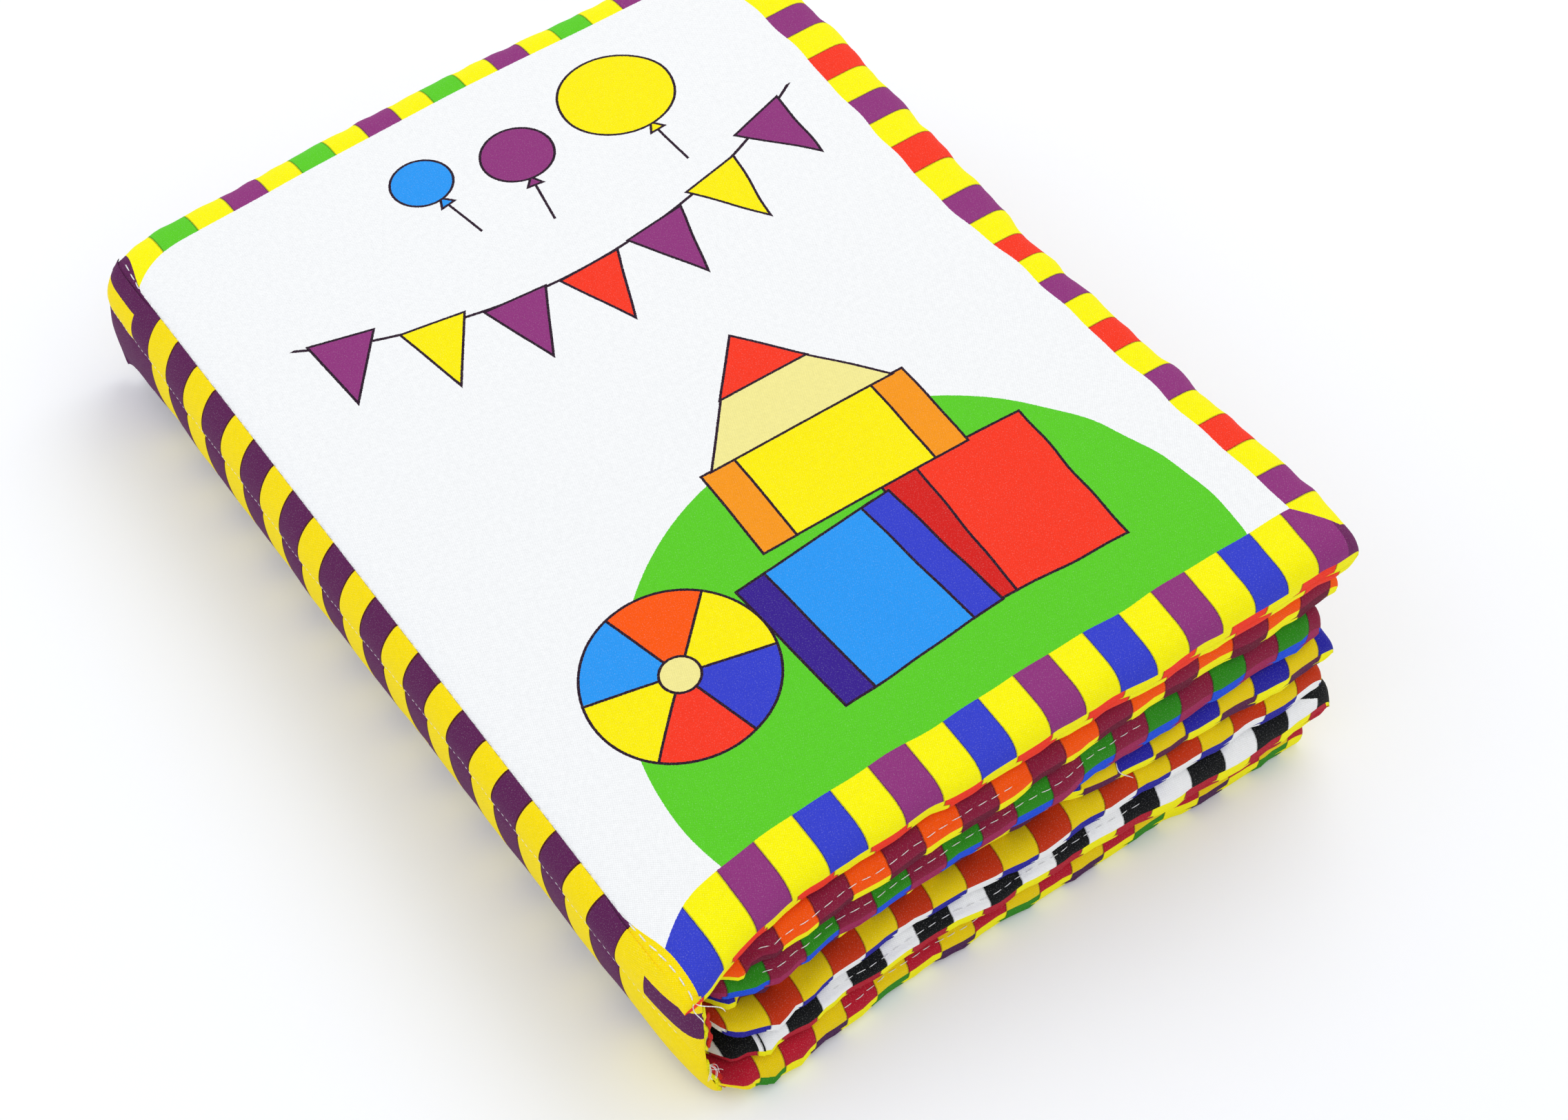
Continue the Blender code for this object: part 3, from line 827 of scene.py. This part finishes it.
# The prints of each leaf's upper and lower cotton
LEAF_PRINTS = (
    (block_print((YELLOW, BLUE), 4.35, tail=(BLUE, YELLOW, PURPLE, YELLOW),
                 fore=(PURPLE, YELLOW, RED, YELLOW), head=(GREEN, YELLOW, PURPLE, YELLOW),
                 fore_phase=16.6, head_phase=11.25,
                 widths=(15.5, 13.6, 10.8), bend=5.0, head_bend=4.0, pitch=7.2, corner=11.0,
                 mitre=(1.27, 8.5), drawn=True),
     block_print((YELLOW, RED), 4.2)),
    (block_print((ORANGE, CRIMSON), 6.0), block_print((YELLOW, MAROON), 6.0)),
    (block_print((LEAF_GREEN, CRIMSON), 10.2, fore=(CRIMSON, LEAF_GREEN)),
     block_print((BRIGHT_BLUE, RASPBERRY), 10.2)),
    (block_print((NAVY, OCHRE), 3.5), block_print((YELLOW, PLUM), 4.2)),
    (block_print((RUST, OCHRE), 0.8), block_print((WHITE, NAVY), 0.8)),
    (block_print((BLACK, WHITE), 5.2, mitre=(0.5, 0.0)), block_print((YELLOW, CHERRY), 11.0)),
    (block_print((CHERRY, OCHRE), 2.8), block_print((YELLOW, LEAF_GREEN, YELLOW, AUBERGINE), 3.0)),
)
LEAF_NAMES = ("cover", "orange", "green", "navy", "rust", "black", "crimson")
# Widths of the spine's striped cotton on the front cover's upper face and the back cover's lower one
COVER_STRIP = 0.75
BACK_STRIP = 6.0


def build_leaf(index, settings):
    """One padded leaf: two faces of printed cotton joined at their seam, filled tight.

    The lower cotton laps up over the seam by a few rings of faces. Gives the upper face's points.
    """
    front = index == 0
    sizes = {
        "roll": millimetres(settings.cover_roll if front else settings.leaf_roll),
        "under_roll": millimetres(settings.under_roll),
        "seam_share": 0.34 if front else 0.22,
        "crease": millimetres(settings.crease),
        "corner": 0.8,
        "pucker": 0.10 if front else 0.16,
    }
    inner = (100, 140) if front else (60, 84)
    upper, upper_u, upper_v = leaf_side(index, 1, inner, sizes)
    lower, lower_u, lower_v = leaf_side(index, -1, inner, sizes)
    lower[0], lower[-1], lower[:, 0], lower[:, -1] = upper[0], upper[-1], upper[:, 0], upper[:, -1]
    points, faces = closed_shell(upper, lower)
    uv = np.concatenate((grid_uv(upper_u, upper_v, UPWARD), grid_uv(lower_u, lower_v, DOWNWARD)))
    count = len(faces) // 2
    leaf = leaf_of(index)
    top_print, bottom_print = LEAF_PRINTS[index]
    shapes = COVER_SHAPES if front else page_shapes(index, 1)
    name = f"printed_cotton_{LEAF_NAMES[index]}"
    strips = (COVER_STRIP if front else 0, BACK_STRIP if index == len(LEAF_TABLE) - 1 else 0)
    materials = (
        printed_cotton(f"{name}_top", (upper_u[-1], upper_v[-1]), top_print, shapes, strips[0]),
        printed_cotton(f"{name}_bottom", (lower_u[-1], lower_v[-1]), bottom_print,
                       page_shapes(index, 0), strips[1]),
    )
    rows, columns = upper.shape[0] - 1, upper.shape[1] - 1
    lapped = np.zeros((rows, columns), int)
    lapped[:, :LAP], lapped[:, -LAP:], lapped[-LAP:] = 1, 1, 1
    face_material = np.concatenate((lapped.ravel(), np.ones(count, int)))
    piece = make_piece(f"{leaf.body}_padded", points, faces, materials, uv, face_material)
    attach(piece, leaf.body)
    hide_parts(leaf.upper_node, leaf.lower_node, f"{leaf.body}_wadding")
    return upper


# The top stitch line's crease falls back past this Y, over this run
TOP_TURN = 82
TOP_RUN = 8
# The middle stitch line's crease on the spine's outside: X and Z over Y
LINE_Y = (-96, -92, -90, -88, -85, -80, -70, -50, -42, -28, -14, 0, 20, 45, 60, 72, 80, 96)
MIDDLE_X = (3.0, 2.9, 2.4, 1.5, -0.5, -1.9) + (-2.2,) * 12
MIDDLE_Z = (11.0, 12.5, 14.3, 16.6, 20.4, 23.4, 24.1, 23.5, 23.6, 23.1, 22, 20.6, 20.2, 20.7, 20.3, 20.7,
            21, 21.4)
MIDDLE_BLUR = 2.4
# The lower stitch line's crease: X and Z over their own Y
LOW_X = ((-96, -79, -67, -44, 0, 40), (5.6, 4.6, 3.7, 3.4, 2.6, 2.0))
LOW_Z = ((-96, -72, 72, 96), (1.4, 4.6, 4.6, 2.6))
# The back panel is sewn to the back cover below and to the leaves above: the names of these two
# bodies. Pieces given both ride neither and keep their place.
BACK_FOLD = ("back_cover", "leaf_5")


def join(piece, body):
    """The piece rides one body, or, given the back fold's two bodies, keeps its place with its transform
    baked in.
    """
    if isinstance(body, str):
        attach(piece, body)
    else:
        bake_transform(piece)


def crease_line(number, y):
    """X and Z of the crease at stitch line 1, 2 or 3 along the spine."""
    if number == 1:
        middle = smooth_step((TOP_TURN - np.abs(y)) / TOP_RUN)
        return 0.45 * middle - 0.1, 0.35 * middle + 30.6
    if number == 2:
        return near_knots(LINE_Y, MIDDLE_X, y, MIDDLE_BLUR), near_knots(LINE_Y, MIDDLE_Z, y, MIDDLE_BLUR)
    return np.interp(y, *LOW_X), np.interp(y, *LOW_Z)


# The spine's end edges: height above the floor, then X and Y at the tail and at the head. The ends
# turn in over the corner run.
SPINE_HALF = 96.0
END_Z = (0, 3, 8, 15, 24, 31)
TAIL_END = ((8.8, 7.2, 5.2, 4.6, 3.8, 2.8), (-99.8, -102.2, -101.2, -100.0, -99.6, -99.6))
HEAD_END = ((2.0, 1.0, 0.2, -0.4, 0.0, 1.4), (92.0, 93.2, 94.0, 94.0, 93.4, 92.4))
CORNER_RUN = 11.0


def spine_ends(points):
    """Points of the spine with both ends turned in: quarter ellipses that end on the end edges."""
    x, y, z = points[..., 0], points[..., 1], points[..., 2]
    for sign, (end_x, end_y) in ((-1, TAIL_END), (1, HEAD_END)):
        t = np.clip((sign * y - (SPINE_HALF - CORNER_RUN)) / CORNER_RUN, 0, 1) * math.pi / 2
        start = sign * (SPINE_HALF - CORNER_RUN)
        turned_y = start + (np.interp(z, END_Z, end_y) - start) * np.sin(t)
        y = np.where(t > 0, turned_y, y)
        x = x + (np.interp(z, END_Z, end_x) - x) * (1 - np.cos(t)) ** 1.3
    return np.stack((x, y, z), -1)


def build_panel(name, upper_line, lower_line, bulge, body, nodes, material):
    """A padded spine panel, whose section runs from crease to crease, carried along the spine.

    At the share s of the way the outside swells past the chord by bulge * (1 - (2 s - 1)^2)^0.8, which
    falls off at the ends as a quarter ellipse and puckers beside the stitches. The inner side lies
    inset * sin(pi s)^0.6 in from the chord.
    """
    end_roll = 4.0
    inset = 1.6
    roll, share = rolled_edge(end_roll, 0, 8)
    flat = np.linspace(end_roll - SPINE_HALF, SPINE_HALF - end_roll, 150)
    y = np.concatenate(((flat[0] - roll[1:])[::-1], flat, flat[-1] + roll[1:]))
    fall = np.concatenate((share[1:][::-1], np.ones(len(flat)), share[1:]))
    s = np.linspace(0, 1, 23)
    top = np.stack(crease_line(upper_line, y), -1)
    bottom = np.stack(crease_line(lower_line, y), -1)
    chord = bottom - top
    length = np.linalg.norm(chord, axis=-1, keepdims=True)
    outward = np.stack((chord[:, 1], -chord[:, 0]), -1) / length
    lift = bulge * (1 - (2 * s - 1) ** 2) ** 0.8
    lift = lift[:, None] * (1 + 0.10 * edge_waves(11, y, (15, 22, 31, 44)))[None]
    beside = np.exp(-np.minimum(s, 1 - s) * 9)[:, None]
    pucker = 0.13 * edge_waves(17, y, (4.7, 5.9, 7.7))[None] * beside
    depth = (lift + pucker * (lift > 0.01)) * fall
    line = top + s[:, None, None] * chord
    section = line + depth[..., None] * outward
    upper = spine_ends(np.stack((section[..., 0], np.broadcast_to(y, depth.shape), section[..., 1]), -1))
    inner = line - (inset * np.sin(np.pi * s)[:, None] ** 0.6 * fall)[..., None] * outward
    lower = spine_ends(np.stack((inner[..., 0], np.broadcast_to(y, depth.shape), inner[..., 1]), -1))
    points, faces = closed_shell(upper, lower)
    u = arc_lengths(section[:, len(y) // 2])
    uv = np.concatenate((grid_uv(u, y, UPWARD), grid_uv(u, y, DOWNWARD)))
    piece = make_piece(name, points, faces, (material,), uv)
    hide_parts(*nodes)
    join(piece, body)
    return upper


def striped_cotton(name, patches):
    """Striped spine cotton. Near its ends the print turns, which leaves a patch of each colour.

    A patch is its lowest and highest Y, its least and greatest U, and its colour.
    """
    material, tree = new_material(name)
    u, _, position = cloth_position(tree)
    y = height_along(tree)
    colour = stripes(tree, y)
    for low, high, near, far, fill in patches:
        inside = maths(tree, "GREATER_THAN", y, low)
        for place, limit, test in ((y, high, "LESS_THAN"), (u, near, "GREATER_THAN"), (u, far, "LESS_THAN")):
            inside = maths(tree, "MULTIPLY", inside, maths(tree, test, place, limit))
        colour = add(tree, MIX, inside, colour, linear(fill))
    finish_cloth(tree, *weave(tree, position, colour))
    return material


def thread_tubes(paths, radius, sides=6):
    """Round threads along rows of points. Each ring of points stands square to its path.

    The radius is full along the thread and rounds off at both ends, as the root of 1 - t^8.
    """
    count, steps = paths.shape[:2]
    tangent = np.gradient(paths, axis=1)
    tangent = tangent / np.linalg.norm(tangent, axis=-1, keepdims=True)
    across = np.cross(tangent, (0.36, 0.19, 0.91))
    across = across / np.linalg.norm(across, axis=-1, keepdims=True)
    upward = np.cross(across, tangent)
    t = np.linspace(-1, 1, steps)
    taper = radius * np.sqrt(np.maximum(1 - np.abs(t) ** 8, 0.02))
    turn = np.arange(sides) * 2 * math.pi / sides
    ring = np.cos(turn)[:, None] * across[:, :, None] + np.sin(turn)[:, None] * upward[:, :, None]
    points = paths[:, :, None] + taper[:, None, None] * ring
    number = np.arange(count * steps * sides).reshape(count, steps, sides)
    ahead = np.roll(number, -1, axis=2)
    quads = np.stack((number[:, :-1], ahead[:, :-1], ahead[:, 1:], number[:, 1:]), -1).reshape(-1, 4)
    faces = quads.tolist() + number[:, 0, ::-1].tolist() + number[:, -1].tolist()
    return points.reshape(-1, 3), faces


def on_grid(points, rows, columns):
    """Points and outward normals of a grid at fractional row and column numbers."""
    normals = grid_normals(points)
    row = np.clip(np.floor(rows).astype(int), 0, points.shape[0] - 2)
    column = np.clip(np.floor(columns).astype(int), 0, points.shape[1] - 2)
    a, b = (rows - row)[..., None], (columns - column)[..., None]
    found = []
    for values in (points, normals):
        near = values[row, column] * (1 - b) + values[row, column + 1] * b
        far = values[row + 1, column] * (1 - b) + values[row + 1, column + 1] * b
        found.append(near * (1 - a) + far * a)
    return found


def row_numbers(grid, columns, wanted):
    """Fractional row numbers at which a grid's columns pass the wanted X."""
    steps = np.arange(len(grid))
    return np.array([np.interp(x, grid[:, round(c), 0], steps) for c, x in zip(columns, wanted)])


def running_stitches(line, normals, pitch=2.5, length=1.95, seed=3):
    """Paths of running stitches along a line on the cloth: each rises from it and dips in again."""
    run = arc_lengths(line)
    starts = np.arange(0.4, run[-1] - pitch, pitch)
    draw = np.random.default_rng(seed)
    starts = starts + draw.uniform(-0.12, 0.12, len(starts))
    t = np.linspace(0, 1, 7)
    at = starts[:, None] + t * length * draw.uniform(0.9, 1.06, (len(starts), 1))
    place = np.stack([np.interp(at, run, line[:, k]) for k in range(3)], -1)
    out = np.stack([np.interp(at, run, normals[:, k]) for k in range(3)], -1)
    side = np.cross(out, np.gradient(place, axis=1))
    side = side / np.linalg.norm(side, axis=-1, keepdims=True)
    lean = draw.uniform(-0.08, 0.08, (len(starts), 1)) * (2 * t - 1)
    return place + (0.15 * np.sin(np.pi * t) - 0.03)[:, None] * out + lean[..., None] * side


def spun_thread(name, tint):
    """Spun thread or a folded cotton edge, dyed by the tint: fine grains of shade cross it."""
    material, tree = new_material(name)
    place = add(tree, "ShaderNodeTexCoord", out=3)
    grain = add(tree, NOISE, place, None, 4000.0, 1.0)
    shade = add(tree, MAP_RANGE, grain, 0.35, 0.65, 0.66, 0.94)
    colour = add(tree, VECTOR_MATH, linear(tint)[:3], None, None, shade, operation="SCALE")
    bump = add(tree, "ShaderNodeBump", 0.6, 0.00004, None, grain)
    finish_cloth(tree, colour, bump, 0.7)
    return material


def build_thread(name, paths, body, material, radius=0.12):
    """One piece of thread, or a row of stitches, that rides on a body."""
    points, faces = thread_tubes(paths, radius)
    piece = make_piece(name, points, faces, (material,))
    join(piece, body)
    return piece


def curl(start, heading, length, bends, seed):
    """A loose thread end: its heading turns by slow waves as it runs, as a fibre left to itself does."""
    draw = np.random.default_rng(seed)
    t = np.linspace(0, 1, 22)
    phase = draw.uniform(0, 2 * math.pi, 3)
    bend = np.stack([bends[k] * np.sin(phase[k] + t * 4.2) for k in range(3)], -1)
    direction = np.asarray(heading, float) + bend
    direction = direction / np.linalg.norm(direction, axis=-1, keepdims=True)
    return np.asarray(start) + np.cumsum(direction, axis=0)[None] * length / len(t)


# The cover's stitch line: its X in the middle, how much further in it runs past a Y, over which run
COVER_LINE_X = 0.6
COVER_LINE_TURN = (0.9, 82, 12)
# Steps along the stitch lines of the spine
LINE_STEPS = 300
# The leaf that a thread end hangs from, and its X
LOOSE_THREAD_LEAF = 3
LOOSE_THREAD_X = 91


def cover_threads(grid, body, thread):
    """The stitches along the cover's fold, and two loose thread ends at their tail end."""
    columns = np.linspace(3, grid.shape[1] - 6, LINE_STEPS)
    y = np.interp(columns, np.arange(grid.shape[1]), grid[8, :, 1])
    further, from_y, run = COVER_LINE_TURN
    wanted = COVER_LINE_X + further * smooth_step((np.abs(y) - from_y) / run)
    line, normals = on_grid(grid, row_numbers(grid, columns, wanted), columns)
    build_thread("cover_fold_stitches", running_stitches(line, normals), body, thread)
    ends = [curl(line[0] + 0.1 * normals[0], heading, length, (0.7, 0.5, 0.6), seed)[0]
            for heading, length, seed in (((0.5, -0.9, 0.1), 5.5, 4), ((-0.3, -1, -0.3), 4.0, 9))]
    build_thread("cover_fold_thread_ends", np.stack(ends), body, thread, 0.08)


def loose_thread(grid, body, thread):
    """A thread end that hangs from a leaf's tail edge."""
    row = np.interp(LOOSE_THREAD_X, grid[:, EDGE_STEPS, 0], np.arange(grid.shape[0]))
    start, normal = on_grid(grid, np.array([row]), np.array([6.0]))
    loose = curl(start[0] + 0.1 * normal[0], (0.2, -0.9, -0.5), 5.0, (0.9, 0.3, 0.5), 5)
    build_thread("loose_thread", loose, body, thread, 0.09)


def topstitches(index, grid, body, thread):
    """The short stitches that close a leaf's tail edge."""
    steps, length, pitch, radius = 200, 1.9, 2.6, 0.075
    ends = np.interp(TOPSTITCHES[index], grid[:, EDGE_STEPS, 0], np.arange(grid.shape[0]))
    column = EDGE_STEPS - EDGE_STEPS * TOPSTITCH_RUN
    line, normals = on_grid(grid, np.linspace(*ends, steps), np.full(steps, column))
    paths = running_stitches(line, normals, pitch, length, seed=index)
    build_thread(f"{body}_topstitches", paths, body, thread, radius)


# Patches of plain colour at the ends of a print: lowest and highest Y, least and greatest U, colour
END_PATCHES = ((-110, -90.0, 3.2, 7.4, SPINE_PURPLE), (80, 110, 3.6, 12, SPINE_YELLOW))
# The spine's two panels: name, the stitch lines above and below, swelling, body and patches
PANELS = (
    ("spine_front_panel", (1, 2), 1.6, "leaf_3", END_PATCHES),
    ("spine_back_panel", (2, 3), 1.2, BACK_FOLD, ()),
)
# Turned-in hems at the spine's tail end: name, body, dye, lowest and highest Z, and X from the edge
HEMS = (
    ("front_hem", "leaf_3", "yellow", 13.5, 26.5, 0.3),
    ("front_red_hem", "leaf_3", "red", 14, 24, 1.1),
    ("back_hem", BACK_FOLD, "yellow", 2.2, 11.5, 0.3),
    ("back_red_hem", BACK_FOLD, "red", 2.6, 10, 1.2),
)
HEM_DYES = {"yellow": YELLOW, "red": HEM_RED}
HEM_RADIUS = 0.42


def hem_path(name, low, high, side):
    """The path of a hem up the spine's tail edge, with small waves in it."""
    z = np.linspace(low, high, 40)
    wave = edge_waves(len(name), z, (3.1, 4.7, 7.3))
    x = np.interp(z, END_Z, TAIL_END[0]) + side + 0.2 * wave
    y = np.interp(z, END_Z, TAIL_END[1]) + 0.35 + 0.15 * np.roll(wave, 9)
    return np.stack((x, y, z), -1)[None]


class BookSizes(bpy.types.PropertyGroup):
    """Sizes of the padded leaves."""

    cover_roll: FloatProperty(name="Cover edge", description="Width of the front cover's rolled edge",
                              default=0.0056, unit="LENGTH")
    leaf_roll: FloatProperty(name="Leaf edge", description="Width of an inner leaf's rolled edge",
                             default=0.0042, unit="LENGTH")
    under_roll: FloatProperty(name="Lower edge", description="Width of the rolled edge under a seam",
                              default=0.0022, unit="LENGTH")
    crease: FloatProperty(name="Crease", description="Depth of the crease at the front stitch line",
                          default=0.0011, unit="LENGTH")


class StageSettings(bpy.types.PropertyGroup):
    """The camera and the lamps."""

    camera_place: FloatVectorProperty(name="Camera", description="Place of the camera", unit="LENGTH",
                                      default=(-0.222418, -0.284885, 0.399127))
    camera_turn: FloatVectorProperty(name="Camera turn", description="Turn of the camera", subtype="EULER",
                                     default=[math.radians(a) for a in (41.9812, -5.376, -35.2222)])
    lens: FloatProperty(name="Lens", description="Focal length in millimetres", default=65.49)
    key_power: FloatProperty(name="Key lamp", description="Power of the large lamp in watts", default=2.1)
    sky: FloatProperty(name="Sky", description="Strength of the white surroundings", default=0.88)


class SOFTBOOK_OT_leaves(bpy.types.Operator):
    """Builds the front cover, the five inner leaves and the back cover, with their stitches"""

    bl_idname = "softbook.leaves"
    bl_label = "Padded leaves"

    def execute(self, context):
        thread = spun_thread("polyester_sewing_thread", "FFFFFF")
        for index in range(len(LEAF_TABLE)):
            grid = build_leaf(index, context.scene.softbook_sizes)
            body = LEAF_TABLE[index][0]
            if index == 0:
                cover_threads(grid, body, thread)
            if index == LOOSE_THREAD_LEAF:
                loose_thread(grid, body, thread)
            if index in TOPSTITCHES:
                topstitches(index, grid, body, thread)
        return {"FINISHED"}


class SOFTBOOK_OT_spine(bpy.types.Operator):
    """Builds the spine's two padded panels, with their stitches, turned-in hems and a tuft of thread"""

    bl_idname = "softbook.spine"
    bl_label = "Striped spine"

    def execute(self, context):
        thread = bpy.data.materials["polyester_sewing_thread"]
        for name, lines, bulge, body, patches in PANELS:
            nodes = [f"{name}_{part}" for part in ("outer_fabric", "lining_fabric", "wadding")]
            striped = striped_cotton(f"striped_cotton_{name}", patches)
            grid = build_panel(f"{name}_padded", *lines, bulge, body, nodes, striped)
            columns = np.linspace(9, grid.shape[1] - 10, LINE_STEPS)
            line, normals = on_grid(grid, np.full(LINE_STEPS, grid.shape[0] - 3.0), columns)
            build_thread(f"{name}_stitches", running_stitches(line, normals, seed=lines[1]), body, thread)
        dyed = {dye: spun_thread(f"cotton_hem_{dye}", tint) for dye, tint in HEM_DYES.items()}
        for name, body, dye, low, high, side in HEMS:
            build_thread(f"spine_{name}", hem_path(name, low, high, side), body, dyed[dye], HEM_RADIUS)
        tuft = []
        for k in range(7):
            start = (5.4, -100.4, 9.6 + 0.2 * k)
            heading = (0.5 - 0.2 * k, -1, 0.5 - 0.3 * k)
            tuft.append(curl(start, heading, 3.4, (0.9, 0.5, 0.9), 30 + k)[0])
        build_thread("spine_thread_tuft", np.stack(tuft), "leaf_5", thread, 0.05)
        return {"FINISHED"}


# The floor's corners lie this far out, and a little below the book, in millimetres
FLOOR_HALF = 2000
FLOOR_Z = -0.15
FLOOR_GLOW = 0.07
# The lamps: place and width in metres, share of the key lamp's power, and colour
LAMPS = (
    ("key_lamp", (0.5, 0.35, 0.9), 0.7, 1.0, "FFFFFF"),
    ("fill_lamp", (-0.85, 0.2, 0.6), 0.8, 0.65, "E2EEFF"),
)


def paper_floor():
    """A matt white floor that glows a little to the camera only, as a lit paper sweep does."""
    turns = ((-1, -1), (1, -1), (1, 1), (-1, 1))
    corners = np.array([(x * FLOOR_HALF, y * FLOOR_HALF, FLOOR_Z) for x, y in turns])
    material, tree = new_material("white_paper_floor")
    inputs = tree.nodes["Principled BSDF"].inputs
    inputs["Base Color"].default_value = linear("F4F6FA")
    inputs["Roughness"].default_value = 0.9
    inputs["Emission Color"].default_value = (1, 1, 1, 1)
    seen = add(tree, "ShaderNodeLightPath")
    tree.links.new(maths(tree, "MULTIPLY", seen, FLOOR_GLOW), inputs["Emission Strength"])
    make_piece("floor", corners, [(0, 1, 2, 3)], (material,))


def white_room(strength):
    """A white world: bright to the camera and to reflections, and of the strength given as light."""
    world = bpy.data.worlds.new("white_room")
    world.use_nodes = True
    tree = world.node_tree
    background = tree.nodes["Background"]
    background.inputs[0].default_value = linear("FEFEFE")
    path = add(tree, "ShaderNodeLightPath")
    seen = maths(tree, "MAXIMUM", path, path.node.outputs["Is Glossy Ray"])
    seen = maths(tree, "MAXIMUM", seen, path.node.outputs["Is Transmission Ray"])
    tree.links.new(add(tree, MAP_RANGE, seen, 0.0, 1.0, strength, 1.0), background.inputs[1])
    return world


class SOFTBOOK_OT_stage(bpy.types.Operator):
    """Sets the pale floor, the soft light and the camera"""

    bl_idname = "softbook.stage"
    bl_label = "Stage"

    def execute(self, context):
        settings = context.scene.softbook_stage
        scene = context.scene
        paper_floor()
        scene.world = white_room(settings.sky)
        for name, place, size, share, tint in LAMPS:
            lamp = bpy.data.lights.new(name, "AREA")
            lamp.color = linear(tint)[:3]
            lamp.size = size
            lamp.energy = settings.key_power * share
            thing = bpy.data.objects.new(name, lamp)
            thing.location = place
            thing.rotation_mode = "QUATERNION"
            thing.rotation_quaternion = thing.location.to_track_quat("Z", "Y")
            scene.collection.objects.link(thing)
        camera = bpy.data.cameras.new("camera")
        camera.lens = settings.lens
        camera.sensor_width = 36
        camera.clip_start, camera.clip_end = 0.01, 20
        thing = bpy.data.objects.new("camera", camera)
        thing.location = settings.camera_place
        thing.rotation_euler = settings.camera_turn
        scene.collection.objects.link(thing)
        scene.camera = thing
        scene.view_settings.view_transform = "Standard"
        return {"FINISHED"}


class SOFTBOOK_PT_panel(bpy.types.Panel):
    """Lists the book's pieces in the sidebar"""

    bl_label = "Baby soft book"
    bl_space_type = "VIEW_3D"
    bl_region_type = "UI"
    bl_category = "Soft book"

    def draw(self, context):
        for operator in OPERATORS:
            self.layout.operator(operator.bl_idname)
        for group in (context.scene.softbook_sizes, context.scene.softbook_stage):
            for name in group.__annotations__:
                self.layout.prop(group, name)


OPERATORS = (SOFTBOOK_OT_leaves, SOFTBOOK_OT_spine, SOFTBOOK_OT_stage)
CLASSES = (BookSizes, StageSettings, *OPERATORS, SOFTBOOK_PT_panel)


def register():
    """Registers the classes and hangs the settings on the scene."""
    for made in CLASSES:
        bpy.utils.register_class(made)
    bpy.types.Scene.softbook_sizes = PointerProperty(type=BookSizes)
    bpy.types.Scene.softbook_stage = PointerProperty(type=StageSettings)


def unregister():
    """Takes the settings and the classes away again."""
    del bpy.types.Scene.softbook_stage
    del bpy.types.Scene.softbook_sizes
    for made in reversed(CLASSES):
        bpy.utils.unregister_class(made)


def main():
    """Builds the whole book and its stage."""
    register()
    bpy.ops.softbook.leaves()
    bpy.ops.softbook.spine()
    bpy.ops.softbook.stage()


if __name__ == "__main__":
    main()
